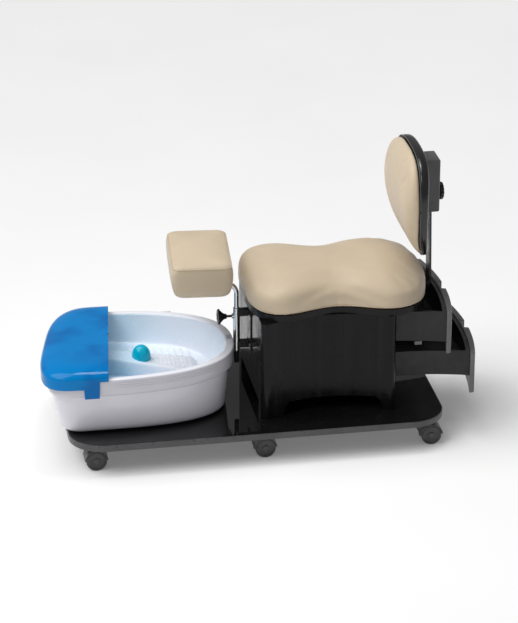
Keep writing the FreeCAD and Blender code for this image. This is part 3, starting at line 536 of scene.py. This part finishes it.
def inflate(piece, voxel, cap, pressure, held, relax=2):
    """Remeshes a closed form and lets cloth pressure fill it by up to cap millimetres.

    held(point) is how firmly a vertex stays where it is, from 0 to 1.
    """
    bpy.context.view_layer.objects.active = piece
    remesh = modify(piece, "remesh", "REMESH", mode="VOXEL", voxel_size=voxel * MM)
    graph = bpy.context.evaluated_depsgraph_get()
    skin = bpy.data.meshes.new_from_object(piece.evaluated_get(graph))
    piece.modifiers.remove(remesh)
    for item in piece.data.materials:
        skin.materials.append(item)
    while len(skin.materials) > len(piece.data.materials):
        skin.materials.pop(index=0)
    piece.data = skin
    even = modify(piece, "even", "SMOOTH", factor=0.5, iterations=4)
    start = shape_now(piece)
    piece.modifiers.remove(even)
    skin.vertices.foreach_set("co", start)
    start = start.reshape(-1, 3).astype(float)
    group = piece.vertex_groups.new(name="held")
    for i, p in enumerate(start):
        weight = held(p)
        if weight > 0:
            group.add([i], weight, "REPLACE")
    cloth = piece.modifiers.new("cloth", "CLOTH")
    s = cloth.settings
    s.quality, s.mass = 5, 0.25
    s.tension_stiffness = s.compression_stiffness = 18
    s.shear_stiffness, s.bending_stiffness = 8, 0.8
    s.use_pressure, s.uniform_pressure_force = True, pressure
    s.effector_weights.gravity = 0
    s.vertex_group_mass = "held"
    scene = bpy.context.scene
    cloth.point_cache.frame_start, cloth.point_cache.frame_end = 1, FILL_FRAMES
    for step in range(1, FILL_FRAMES + 1):
        scene.frame_set(step)
    moved = shape_now(piece)
    piece.modifiers.remove(cloth)
    piece.vertex_groups.clear()
    scene.frame_set(1)
    shift = moved.reshape(-1, 3) - start
    length = np.linalg.norm(shift, axis=1)
    limit = cap * MM
    shift *= (limit * np.tanh(length / limit) / np.maximum(length, 1e-9))[:, None]
    skin.vertices.foreach_set("co", (start + shift).astype(np.float32).ravel())
    for polygon in skin.polygons:
        polygon.use_smooth = True
    skin.update()
    modify(piece, "calm", "SMOOTH", factor=0.5, iterations=relax)
    modify(piece, "fine", "SUBSURF", levels=1, render_levels=1)


SEAT_HALF = [(-12, 0), (-7, -90), (26, -156), (62, -169), (118, -158), (200, -138),
             (268, -157), (340, -177), (402, -152), (436, -80), (446, 0)]
SEAT_CENTRE = 216.0
SEAT_REACH, SEAT_SPREAD = 230.0, 168.0
WAIST_X, WAIST_RUN = 195.0, 75.0
SEAT_POINTS = closed_spline(SEAT_HALF + [(x, -y) for x, y in reversed(SEAT_HALF[1:-1])], 160)


def seat_ring(inset, z, waist=0.0, slim=0.0):
    """Seat outline drawn in by inset, further at its waist, and slimmer at its rear shoulders."""
    ring = []
    for x, y in SEAT_POINTS:
        narrow = math.exp(-((x - WAIST_X) / WAIST_RUN) ** 2) * waist + slim * smooth_step(x, 250, 340)
        sx, sy = (SEAT_REACH - inset) / SEAT_REACH, (SEAT_SPREAD - inset - narrow) / SEAT_SPREAD
        ring.append(cart(SEAT_CENTRE + (x - SEAT_CENTRE) * sx, y * sy, z))
    return ring


def seat_cushion():
    """Waisted saddle with a full roll above its tray and a welt along its foot."""
    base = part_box("seat_cushion")[0].z / MM
    sections = [(0.0, 12, 0), (0.3, 7, 0), (2.5, 4.2, 0), (6, 3.0, 0), (10, 3.2, 1.5), (16, 4.6, 5.0),
                (22, 4.6, 4.5), (30, 3.6, 1.5), (38, 4.2, 0), (47, 7.5, 0), (55, 13, 0), (62, 23, 0),
                (67.5, 37, 0), (71, 55, 0), (73, 78, 0), (74, 104, 0), (74.4, 130, 0)]
    skin = [seat_ring(inset, base + rise, waist, 10 * smooth_step(rise, 30, 62))
            for rise, inset, waist in sections]
    piece = new_piece("seat_pad", *rings(skin, True, True, True), "seat_leather")
    in_tray = (base + 9) * MM
    inflate(piece, 5.0, 8.0, 3.6, lambda p: smooth_step(in_tray - p[2], -0.004, 0.002), relax=14)
    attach(piece, "cart")
    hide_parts("seat_cushion")
    welt_inset, welt_rise, welt_radius = 1.4, 2.4, 1.7
    welt = on_skin(piece, seat_ring(welt_inset, base + welt_rise))
    trim = new_piece("seat_welt", *tube(welt, welt_radius * MM), "piping")
    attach(trim, "cart")


BACK_HALF = [(0, 706), (58, 702), (106, 684), (138, 638), (147, 580), (138, 530),
             (114, 486), (84, 457), (44, 433), (0, 421)]
BACK_FRONT = [(412, 428), (470, 392), (500, 378), (550, 366),
              (600, 362), (650, 365), (690, 372), (725, 385)]
BACK_REAR = [(412, 438), (470, 413), (500, 404), (550, 400),
             (600, 400), (650, 400), (690, 402), (725, 404)]
SHELL_REAR = [(412, 449), (470, 434), (500, 427), (550, 421),
              (600, 421), (650, 425), (690, 429), (725, 432)]
BACK_CENTRE_Z = 562.0
BACK_HALF_WIDTH, BACK_HALF_HEIGHT = 147.0, 145.0
CROWN = 4.0
BACK_POINTS = closed_spline(BACK_HALF + [(-y, z) for y, z in reversed(BACK_HALF[1:-1])], 140)


def back_outline(grow):
    wide = (BACK_HALF_WIDTH + grow) / BACK_HALF_WIDTH
    tall = (BACK_HALF_HEIGHT + grow) / BACK_HALF_HEIGHT
    return [(y * wide, BACK_CENTRE_Z + (z - BACK_CENTRE_Z) * tall) for y, z in BACK_POINTS]


def profile(table, z):
    zs, xs = zip(*table)
    return float(np.interp(z, zs, xs))


def smooth_profile(table, z, reach=14):
    """The profile at a height, averaged a little up and down so that it has no corners."""
    return (profile(table, z - reach) + 2 * profile(table, z) + profile(table, z + reach)) / 4


def back_cushion():
    """Crowned pad: flat against its shell, domed towards the sitter."""
    steps = [(0.02, 7), (0.05, 3), (0.18, 1.2), (0.38, 1.2), (0.58, 3.2), (0.76, 8), (0.88, 15),
             (0.95, 26), (0.985, 42), (1.0, 62), (1.0, 90), (1.0, 118)]
    skin = []
    for depth, inset in steps:
        ring = []
        for y, z in back_outline(-inset):
            rear, front = smooth_profile(BACK_REAR, z) - 0.3, smooth_profile(BACK_FRONT, z)
            thick = rear - front - CROWN
            ring.append(cart(rear - thick * depth, y, z))
        skin.append(ring)
    piece = new_piece("back_pad", *rings(skin, True, True, True), "leather")

    def held(p):
        rear = cart(smooth_profile(BACK_REAR, p[2] / MM)).x
        return smooth_step(p[0] - (rear - 0.010), 0.0, 0.005)

    inflate(piece, 4.5, 7.0, 4.0, held)
    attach(piece, "backrest")
    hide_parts("back_cushion")


def back_shell():
    """Moulded shell behind the pad with a rolled rim."""
    outer = [(0.0, 0.0), (0.0, -2.5), (0.03, 0.6), (0.10, 2.4), (0.26, 3.0), (0.5, 3.0), (0.68, 2.4),
             (0.82, 0.2), (0.91, -4), (0.96, -12), (0.99, -26), (1.0, -50), (1.0, -75), (1.0, -110)]

    def depth(share, z):
        return smooth_profile(BACK_REAR, z) * (1 - share) + smooth_profile(SHELL_REAR, z) * share

    skin = [[cart(depth(share, z), y, z) for y, z in back_outline(grow)] for share, grow in outer]
    front = [[cart(smooth_profile(BACK_REAR, z) + 0.3, y, z) for y, z in back_outline(g)]
             for g in (-100, -60, -30, -8)]
    piece = new_piece("back_shell_moulding", *rings(front + skin, True, True, True), "back_shell")
    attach(piece, "backrest")
    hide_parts("back_shell")
    rim = [cart(smooth_profile(BACK_REAR, z) - 0.2, y, z) for y, z in back_outline(1.6)]
    bead = new_piece("back_rim_bead", *tube(rim, 1.5 * MM, 8), "carrier")
    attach(bead, "backrest")


def rounded_plan(width, depth, corner, count, spacing=7):
    """Points round a rounded rectangle, evenly enough for a cushion skin."""
    a, b = width / 2 - corner, depth / 2 - corner
    points = []
    for cx, cy, start in ((a, -b, -90), (a, b, 0), (-a, b, 90), (-a, -b, 180)):
        for k in range(count // 4 + 1):
            t = math.radians(start + 90 * k / (count // 4))
            points.append((cx + corner * math.cos(t), cy + corner * math.sin(t)))
    dense = []
    for i, p in enumerate(points):
        q = points[(i + 1) % len(points)]
        length = math.dist(p, q)
        parts = max(1, int(length / spacing))
        dense += [(p[0] + (q[0] - p[0]) * k / parts, p[1] + (q[1] - p[1]) * k / parts)
                  for k in range(parts)]
    return dense


FOOT_TURN = -5.0
FOOT_PAD_X = -112.0


def foot_place(x, y, z):
    return turned(cart(FOOT_PAD_X + x, y, z), POST, FOOT_TURN)


def foot_cushion():
    """Box-edged pad, piped along its upper seam."""
    base, top = (v.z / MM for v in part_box("footrest_cushion"))
    height = top - base
    sections = [(0.0, 104, 200), (0.004, 118, 216), (0.05, 129, 229), (0.12, 137, 238),
                (0.3, 145, 245), (0.5, 150, 248), (0.70, 150, 248), (0.79, 147, 246),
                (0.85, 142, 242), (0.89, 137, 237), (0.92, 128, 228), (0.94, 112, 210),
                (0.955, 84, 178), (0.965, 48, 124)]
    skin = []
    for rise, width, depth in sections:
        corner = 17 if rise < 0.9 else 15
        outline = closed_even(rounded_plan(width, depth, min(corner, width / 3), 32), 120)
        skin.append([foot_place(x, y, base + height * rise) for x, y in outline])
    piece = new_piece("footrest_pad", *rings(skin, True, True, True), "foot_leather")
    on_plate = (base + 4) * MM
    seam = (base + height * 0.87) * MM
    half_x, half_y = 71 * MM, 116 * MM

    def held(p):
        low = smooth_step(on_plate - p[2], -0.003, 0.002)
        local = turned(Vector(p), POST, -FOOT_TURN)
        out = max(abs(local.x - cart(FOOT_PAD_X).x) / half_x, abs(local.y) / half_y)
        edge = math.exp(-((p[2] - seam) / 0.005) ** 2) * smooth_step(out, 0.9, 0.98)
        return max(low, 0.75 * edge)

    inflate(piece, 4.0, 6.0, 4.5, held)
    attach(piece, "footrest")
    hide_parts("footrest_cushion")
    path = on_skin(piece, [foot_place(x, y, base + height * 0.875) for x, y in
                           closed_even(rounded_plan(150, 248, 19, 48), 200)])
    trim = new_piece("footrest_piping", *tube(path, 2.1 * MM), "piping")
    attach(trim, "footrest")


def on_skin(piece, points):
    """The nearest points on a finished cushion, so that its trim lies on the cover."""
    graph = bpy.context.evaluated_depsgraph_get()
    skin = piece.evaluated_get(graph)
    found = [Vector(skin.closest_point_on_mesh(p)[1]) for p in points]
    for _ in range(6):
        found = [(found[i - 1] + found[i] * 2 + found[(i + 1) % len(found)]) / 4
                 for i in range(len(found))]
    return found


def closed_even(points, count):
    p = np.array(points + points[:1], float)
    run = np.concatenate([[0], np.cumsum(np.linalg.norm(np.diff(p, axis=0), axis=1))])
    wanted = np.linspace(0, run[-1], count, endpoint=False)
    return [(float(np.interp(w, run, p[:, 0])), float(np.interp(w, run, p[:, 1]))) for w in wanted]


seat_cushion()
back_cushion()
back_shell()
foot_cushion()


# ---------------------------------------------------------------- casters
WHEEL_RADIUS, WHEEL_WIDTH, WHEEL_GAP, TREAD_FROM = 25.0, 18.5, 3.5, 19.4


def caster_wheels(index):
    lo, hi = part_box("caster_wheels_%d" % index)
    centre = (lo + hi) / 2
    r, w = WHEEL_RADIUS, WHEEL_WIDTH
    section = [(3.2, 0.3), (9.0, 0.3), (9.8, 1.6), (19.0, 1.6), (19.8, 0.5), (r - 2.2, 0.5),
               (r - 0.7, 1.2), (r, 2.8), (r, 5.4), (r - 0.45, 5.8), (r - 0.45, 6.4), (r, 6.8),
               (r, w - 6.8), (r - 0.45, w - 6.4), (r - 0.45, w - 5.8), (r, w - 5.4), (r, w - 2.8),
               (r - 0.7, w - 1.2), (r - 2.4, w - 0.4), (r - 5.4, w - 0.3), (r - 6.0, w - 1.9),
               (12.0, w - 2.4), (8.2, w - 2.2), (7.6, w - 0.8), (6.6, w - 0.2), (0.0, w)]
    parts = []
    for side in (-1, 1):
        def place(a, b, h, side=side):
            return centre + Vector((a * MM, side * (WHEEL_GAP + h) * MM, b * MM))
        parts.append(lathe(section, place, 72))
    piece = new_piece("wheel_pair_%d" % index, *merge(*parts), ["tread", "caster"])
    for polygon in piece.data.polygons:
        d = polygon.center - centre
        polygon.material_index = 0 if math.hypot(d.x, d.z) > TREAD_FROM * MM else 1
    sharpen(piece, 35)
    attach(piece, "caster_roll_%d" % index)
    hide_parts("caster_wheels_%d" % index)


def sharpen(piece, degrees):
    """Keeps true corners crisp while curved faces stay smooth."""
    bm = bmesh.new()
    bm.from_mesh(piece.data)
    for edge in bm.edges:
        if len(edge.link_faces) == 2 and edge.calc_face_angle(0) > math.radians(degrees):
            edge.smooth = False
    bm.to_mesh(piece.data)
    bm.free()


for number in range(1, 7):
    caster_wheels(number)


# ---------------------------------------------------------------- knobs
def back_knob():
    lo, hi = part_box("back_knob")
    centre, length = (lo + hi) / 2, (hi.x - lo.x) / MM
    radius = (hi.z - lo.z) / 2 / MM
    section = [(4.0, 0.0), (4.0, length - 14.0), (13, length - 13.2), (radius - 3.5, length - 13.0),
               (radius - 1.0, length - 11.6), (radius, length - 9.0), (radius, length - 4.5),
               (radius - 1.0, length - 2.0), (radius - 3.5, length - 0.6), (radius - 8, length - 0.1),
               (9.5, length - 0.4), (8.8, length - 1.4), (3.0, length - 1.8), (0.0, length - 1.8)]

    def place(a, b, h):
        return Vector((lo.x + h * MM, centre.y + a * MM, centre.z + b * MM))
    piece = new_piece("back_clamp_knob", *lathe(section, place, 120, 12, 1.3), "knob")
    sharpen(piece, 40)
    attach(piece, "back_clamp")
    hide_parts("back_knob")


def foot_knob():
    lo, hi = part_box("footrest_knob")
    centre, length = (lo + hi) / 2, (hi.x - lo.x) / MM
    radius = (hi.z - lo.z) / 2 / MM
    section = [(0.0, 0.9), (7.0, 0.9), (8.0, 0.2), (radius - 2.0, 0.0), (radius - 0.5, 0.8), (radius, 2.2),
               (radius, 4.2), (radius - 1.2, 5.6), (radius - 5.0, 8.0), (10.5, 12.0), (7.2, 16.0),
               (6.4, 20.0), (6.2, 22.0), (5.6, 22.6), (3.0, 22.8), (3.0, length)]

    def place(a, b, h):
        return Vector((lo.x + h * MM, centre.y + a * MM, centre.z + b * MM))
    piece = new_piece("footrest_clamp_knob", *lathe(section, place, 120, 10, 0.9), "knob")
    sharpen(piece, 40)
    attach(piece, "footrest_clamp")
    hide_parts("footrest_knob")


back_knob()
foot_knob()


# ---------------------------------------------------------------- foot bath
LEFT, RIGHT, HALF = 98.0, 353.0, 201.0
LEFT_POWER, RIGHT_POWER = 3.3, 2.5
SKEW, SKEW_RUN = 0.19, 310.0
SIDE, NOSE, DRAFT = 16.0, 20.0, 26.0
RIM, STEP, BOTTOM = 235.0, 192.0, 84.3
BODY = [(BOTTOM, (25, 23, 35)), (140.0, (15, 17, 20)), (STEP, (8, 12, 8))]
BOTTOM_POWER = 3.0
POWER_DEPTH = 35.0
BOTTOM_HUB, FLOOR_HUB = 60.0, 100.0
WALL_DRAFT, MOULDED_WALL = 95.0, 2.2
RIDGE_END, RIDGE_HALF = 270.0, (22.0, 50.0)
AROUND = [2 * math.pi * k / 240 for k in range(240)]


def skew(u, v):
    """Slant of the broad end, dying out towards the nose."""
    return u + SKEW * v * (1 - smooth_step(u, -LEFT, SKEW_RUN - LEFT)), v


def plan_point(left, right, half, angle, left_power=LEFT_POWER, right_power=RIGHT_POWER):
    c, s = math.cos(angle), math.sin(angle)
    power = right_power if c > 0 else left_power
    scale = (abs(c) ** power + abs(s) ** power) ** (-1 / power)
    return (right if c > 0 else left) * c * scale, half * s * scale


def outer_plan(inset, angle):
    left, right, side = inset if isinstance(inset, tuple) else (inset, inset, inset)
    depth = min(1.0, max(0.0, side) / POWER_DEPTH)
    return skew(*plan_point(LEFT - left, RIGHT - right, HALF - side, angle, LEFT_POWER - 0.4 * depth,
                            RIGHT_POWER + (BOTTOM_POWER - RIGHT_POWER) * depth))


def basin_plan(inset, angle):
    return skew(*plan_point(LEFT - SIDE - inset, RIGHT - NOSE - inset, HALF - SIDE - inset, angle))


def body_inset(z, extra=0.0):
    """Left, right and side inset of the tapered body at a height."""
    heights = [row[0] for row in BODY]
    return tuple(float(np.polyval(np.polyfit(heights, [row[1][k] for row in BODY], 2), z)) + extra
                 for k in range(3))


def fluting(u, z):
    """Long shallow grooves along the skirt from mid side to the nose."""
    reach = smooth_step(u, 20, 60) * (1 - smooth_step(u, 285, 318))
    groove = sum(math.exp(-((z - level) / 1.15) ** 2) for level in (214.5, 220.5, 226.5))
    return 1.3 * reach * groove


def bath_shell():
    """Outer body from its floor up the skirt, over the rim and down inside.

    Each row is (kind, inset, height): c is drawn in about the bottom, o follows the outside,
    b follows the basin, and r runs between the last two.
    """
    rows = [("c", 0.04, BOTTOM), ("c", 0.5, BOTTOM), ("o", body_inset(BOTTOM, 15), BOTTOM)]
    rows += [("o", body_inset(BOTTOM, extra), BOTTOM + rise)
             for extra, rise in ((8, 0.2), (3.6, 1.6), (0.9, 4.6))]
    rows += [("o", body_inset(z), z)
             for z in (BOTTOM + 9, 102, 112, 122, 132, 142, 152, 162, 171, 179, 185, 189)]
    rows += [("o", (inset, inset * 1.5, inset), z)
             for inset, z in ((7.8, 190.8), (6.6, 191.9), (4.6, 192.2),
                              (2.6, 192.7), (1.2, 194.0), (0.4, 196.2))]
    rows += [("o", 0.0, 198.5), ("o", 0.0, 205.0)]
    rows += [("o", 0.0, 211 + 1.0 * k) for k in range(19)]
    rows += [("o", 0.0, 230.6), ("o", 0.3, 232.2), ("o", 1.2, 233.7), ("o", 2.7, 234.7), ("o", 4.8, RIM)]
    rows += [("r", 0.35, RIM + 0.2), ("r", 0.7, RIM + 0.1), ("b", -1.6, RIM - 0.2), ("b", -0.5, RIM - 0.9),
             ("b", 0.1, RIM - 2.2), ("b", 0.1, RIM - 4.2), ("b", -2.0, RIM - 4.6), ("o", 9.0, RIM - 5.5),
             ("o", 9.2, STEP + 4), ("o", (11.0, 15.0, 11.0), STEP - 3)]
    rows += [("o", body_inset(z, 3.0), z) for z in (180, 160, 140, 110)]
    rows += [("o", body_inset(BOTTOM, 3.6), BOTTOM + 8), ("o", body_inset(BOTTOM, 9), BOTTOM + 3.4),
             ("o", body_inset(BOTTOM, 15), BOTTOM + 3.0), ("c", 0.5, BOTTOM + 3.0), ("c", 0.04, BOTTOM + 3)]
    skin = []
    for kind, inset, z in rows:
        ring = []
        for angle in AROUND:
            if kind == "c":
                u, v = outer_plan(body_inset(BOTTOM, 15), angle)
                u, v = BOTTOM_HUB + (u - BOTTOM_HUB) * inset, v * inset
            elif kind == "o":
                u, v = outer_plan(inset, angle)
                dent = fluting(u, z) if inset == 0.0 else 0
                length = math.hypot(u, v)
                u, v = u * (1 - dent / length), v * (1 - dent / length)
            elif kind == "b":
                u, v = basin_plan(inset, angle)
            else:
                a, b = outer_plan(4.8, angle), basin_plan(-1.6, angle)
                u, v = (a[k] + (b[k] - a[k]) * inset for k in (0, 1))
            ring.append(bath(u, v, z))
        skin.append(ring)
    piece = new_piece("bath_body", *rings(skin, True, True, True), "white")
    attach(piece, "foot_bath")
    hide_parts("bath_shell")


FLOOR_LEVELS, RIDGE_LEVELS = (176.0, 150.0), (240.0, 150.0)


def floor_z(u):
    start, end = FLOOR_LEVELS
    return start + (end - start) * (u + LEFT) / (LEFT + RIGHT)


def ridge_z(u):
    start, end = RIDGE_LEVELS
    return start + (end - start) * (u + LEFT) / (LEFT + RIGHT)


def soft_max(a, b, radius):
    h = max(radius - abs(a - b), 0) / radius
    return max(a, b) + h * h * radius / 4


def bath_basin():
    """Inner tub: drafted walls that run into a sloping floor through a wide fillet."""
    insets = [0.3, 0.9, 2, 4, 6, 8, 10, 12, 14, 16, 18, 19.5, 21, 22.5, 24, 26, 28.5, 32, 37, 44, 54]
    shrink = [0.86, 0.68, 0.5, 0.32, 0.14, 0.03]
    skin = []
    for inset in insets + shrink:
        ring = []
        for angle in AROUND:
            if inset in shrink:
                u, v = basin_plan(insets[-1], angle)
                u, v = FLOOR_HUB + (u - FLOOR_HUB) * inset, v * inset
                depth = 60
            else:
                u, v = basin_plan(inset, angle)
                depth = inset
            side = RIM - 1.0 - depth * WALL_DRAFT / DRAFT
            ring.append(bath(u, v, soft_max(side, floor_z(u) + 0.2, 26)))
        skin.append(ring)
    piece = new_piece("bath_inner_tub", *rings(skin, True, False, True), "basin")
    modify(piece, "thick", "SOLIDIFY", thickness=MOULDED_WALL * MM, offset=-1.0)
    flip_up(piece)
    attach(piece, "foot_bath")
    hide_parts("bath_basin")


def flip_up(piece):
    """Turns an open skin so that its faces look up and in."""
    total = sum(polygon.normal.z * polygon.area for polygon in piece.data.polygons)
    if total < 0:
        piece.data.flip_normals()


def stud(section, u, v, base, segments=12):
    """A small turned boss that stands on the bath at (u, v)."""
    return lathe(section, lambda a, b, h: bath(u + a, v + b, base + h), segments)


def bath_ridge():
    """Foot divider with a rounded crown and raised massage nubs."""
    start, end = -40.0, RIDGE_END
    nub = 2.1
    crown_nub = [(nub, 0), (nub * 0.92, 0.7), (nub * 0.6, 1.35), (0.0, 1.6)]
    floor_nub = [(2.6, 0), (2.4, 0.8), (1.5, 1.7), (0.0, 2.0)]
    rows = []
    steps = 80
    for k in range(steps + 1):
        u = start + (end - start) * k / steps
        half = RIDGE_HALF[0] + (RIDGE_HALF[1] - RIDGE_HALF[0]) * k / steps
        top, low = ridge_z(u), floor_z(u) + 0.4
        ends = smooth_step(min(k, steps - k) / 4.0, 0, 1)
        top = low + (top - low) * max(ends, 0.08)
        row = []
        across = [(-1.0, 0.0), (-0.985, 0.5), (-0.95, 0.86), (-0.9, 0.97), (-0.82, 1.0)] + \
                 [(-0.7 + 0.1 * i, 1.0) for i in range(15)] + \
                 [(0.82, 1.0), (0.9, 0.97), (0.95, 0.86), (0.985, 0.5), (1.0, 0.0)]
        for share, rise in across:
            row.append(bath(u, share * half, low + (top - low) * rise))
        row += [bath(u, half * 0.8, low - 1.5), bath(u, -half * 0.8, low - 1.5)]
        rows.append(row)
    skin = rings(rows, True, True, True)
    seat = ridge_z(DOME_FROM_CENTRE / MM) - 2.0
    collar = [(27.2, seat - 9), (27.2, seat - 0.6), (26.6, seat - 0.1), (0.0, seat - 0.1)]
    nubs = [stud(collar, DOME_FROM_CENTRE / MM, 0, 0, 64)]
    for i in range(10):
        for j in range(-2, 3):
            u = 166 + i * 10.5
            v = j * (6.4 + i * 0.95) + (3.2 if i % 2 else 0)
            nubs.append(stud(crown_nub, u, v, ridge_z(u) - 0.3))
    for side in (-1, 1):
        for i in range(9):
            for j in range(6):
                u, v = 120 + i * 17, side * (62 + j * 13 - i * 1.6)
                nubs.append(stud(floor_nub, u, v, floor_z(u)))
    piece = new_piece("bath_divider", *merge(skin, *nubs), "ridge")
    sharpen(piece, 50)
    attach(piece, "foot_bath")
    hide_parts("bath_ridge")


def massage_dome():
    lo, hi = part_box("massage_dome")
    centre = (lo + hi) / 2
    radius, height = (hi.x - lo.x) / 2 / MM, (hi.z - lo.z) / MM
    neck, foot, steps = radius * 0.965, 2.4, 21
    section = [(radius * 0.8, 0.0), (radius, 0.3), (radius, 1.6), (neck, foot)]
    for k in range(1, steps + 1):
        t = math.radians(4 + 86 * k / steps)
        section.append((neck * math.cos(t) ** 0.86 if k < steps else 0.0,
                        foot + (height - foot) * math.sin(t)))

    def place(a, b, h):
        t = math.atan2(b, a)
        r = math.hypot(a, b)
        rise = smooth_step(h, 4, 12) * (1 - smooth_step(h, height - 10, height - 2))
        r -= 0.9 * rise * math.exp(-(math.sin(1.5 * (t - 0.4)) / 0.16) ** 2)
        return Vector((centre.x + r * math.cos(t) * MM, centre.y + r * math.sin(t) * MM, lo.z + h * MM))
    piece = new_piece("dome_button", *lathe(section, place, 120), "dome")
    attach(piece, "dome")
    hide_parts("massage_dome")


def splash_cover():
    """Open-ended hood over the broad end of the bath, with a clip tab on each side."""
    edge_u, gap, wall, shoulder = 47.0, 1.4, 2.4, 239.0
    tab, hem, tab_low, lip = (-2.0, 29.0), 215.0, 190.5, 233.0
    lows = [(-200, hem), (tab[0] - 0.5, hem), (tab[0] + 0.5, tab_low), (tab[1] - 0.5, tab_low),
            (tab[1] + 0.5, lip), (60, lip)]

    def angle_at(plan, u_wanted):
        low, high = 0.01, math.pi - 0.01
        for _ in range(50):
            mid = (low + high) / 2
            if plan(mid)[0] > u_wanted:
                low = mid
            else:
                high = mid
        return low

    profile_rows = [(-gap - wall, None, t) for t in (0, 0.12, 0.3, 0.5, 0.7, 0.88, 1.0)]
    profile_rows += [(-3.6, 240.6, 0), (-3.0, 242.6, 0), (-1.8, 245, 0), (0.2, 247.6, 0), (3.0, 250, 0),
                     (6.8, 252.4, 0), (11.6, 254.8, 0), (17.4, 257, 0), (24, 258.9, 0), (31.5, 260.4, 0),
                     (40, 261.4, 0), (49, 261.8, 0)]
    flare = 10.0
    skin = []
    for inset, z, t in profile_rows:
        def plan(angle, inset=inset):
            left = LEFT - inset + flare * (1 - 0.6 * smooth_step(inset, -gap, 30))
            return plan_point(left, RIGHT - inset, HALF - inset, angle)
        first = angle_at(plan, edge_u)
        stops = [angle_at(plan, u) for u in (tab[1] + 0.5, tab[1] - 0.5, tab[0] + 0.5, tab[0] - 0.5)]
        half = [first + (stops[0] - first) * k / 10 for k in range(10)] + \
               [stops[0]] + [stops[1] + (stops[2] - stops[1]) * k / 8 for k in range(9)] + [stops[3]]
        last = stops[3]
        half += [last + (math.pi - last) * k / 34 for k in range(1, 34)]
        angles = half + [math.pi] + [2 * math.pi - a for a in reversed(half)]
        ring = []
        for angle in angles:
            u, v = plan(angle)
            if z is None:
                low = float(np.interp(u, *zip(*lows)))
                height = low + (shoulder - low) * t
            else:
                height = z
            ring.append((u, v, height))
        skin.append(ring)
    last = skin[-1]
    for shrink in (0.93, 0.84, 0.72, 0.58, 0.42, 0.26, 0.12, 0.03):
        skin.append([(edge_u + (u - edge_u) * shrink, v * shrink, z + 0.3 * (1 - shrink))
                     for u, v, z in last])
    placed = [[bath(*skew(u, v), z) for u, v, z in ring] for ring in skin]
    piece = new_piece("splash_hood", *rings(placed, False), "cover")
    flip_up(piece)
    modify(piece, "thick", "SOLIDIFY", thickness=MOULDED_WALL * MM, offset=-1.0)
    modify(piece, "soft", "BEVEL", width=0.5 * MM, segments=2, limit_method="ANGLE",
           angle_limit=math.radians(60))
    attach(piece, "cover")
    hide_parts("splash_cover")


bath_shell()
bath_basin()
bath_ridge()
massage_dome()
splash_cover()


# ---------------------------------------------------------------- stage, lights and camera
def stage():
    n = Nodes("studio_floor")
    base = n.mix(n.range(n.noise(1.5, 2.0), 0, 1), (0.84, 0.84, 0.84), (0.86, 0.86, 0.86))
    n.set(Base_Color=base, Roughness=n.range(n.noise(6.0), 0.85, 0.95), Specular_IOR_Level=0.1,
          Emission_Color=(1, 1, 1, 1), Emission_Strength=0.14)
    mesh = bpy.data.meshes.new("studio_floor")
    half = 30.0
    corners = [(-half, -half, 0), (half, -half, 0), (half, half, 0), (-half, half, 0)]
    mesh.from_pydata(corners, [], [(0, 1, 2, 3)])
    mesh.materials.append(n.material)
    floor = bpy.data.objects.new("studio_floor", mesh)
    bpy.context.scene.collection.objects.link(floor)


def put(name, data, place, back):
    """Places a light or camera that looks away from the vector back."""
    made = bpy.data.objects.new(name, data)
    made.rotation_mode = "QUATERNION"
    made.location = place
    made.rotation_quaternion = Vector(back).to_track_quat("Z", "Y")
    bpy.context.scene.collection.objects.link(made)
    return made


def sun(name, toward, strength, angle):
    data = bpy.data.lights.new(name, "SUN")
    data.energy, data.angle = strength, math.radians(angle)
    put(name, data, (0, 0, 0), toward)


def softbox(name, place, size, power, aim=(0, 0, 0.3)):
    data = bpy.data.lights.new(name, "AREA")
    data.shape, data.size, data.size_y, data.energy = "RECTANGLE", size[0], size[1], power
    put(name, data, place, Vector(place) - Vector(aim))


def world(brightness):
    w = bpy.data.worlds.new("studio")
    w.use_nodes = True
    w.node_tree.nodes["Background"].inputs["Color"].default_value = (1, 1, 1, 1)
    w.node_tree.nodes["Background"].inputs["Strength"].default_value = brightness
    bpy.context.scene.world = w


def camera():
    azimuth, elevation, distance = math.radians(-9.9), math.radians(24.0), 7.0
    back = Vector((math.sin(azimuth) * math.cos(elevation), -math.cos(azimuth) * math.cos(elevation),
                   math.sin(elevation)))
    data = bpy.data.cameras.new("camera")
    data.lens, data.sensor_width, data.sensor_fit = 165.1, 36.0, "AUTO"
    data.clip_end = 100.0
    bpy.context.scene.camera = put("camera", data, cart(34.1, 0, 290.6) + back * distance, back)


stage()
world(0.26)
sun("key", (-0.45, 0.10, 1.0), 1.85, 50)
softbox("overhead", (-0.22, 0.05, 2.2), (0.55, 0.30), 6, (-0.45, -0.1, 0.25))
softbox("front_left", (-2.0, -1.6, 2.8), (1.6, 1.1), 26)
camera()
bpy.context.scene.view_settings.view_transform = "Standard"
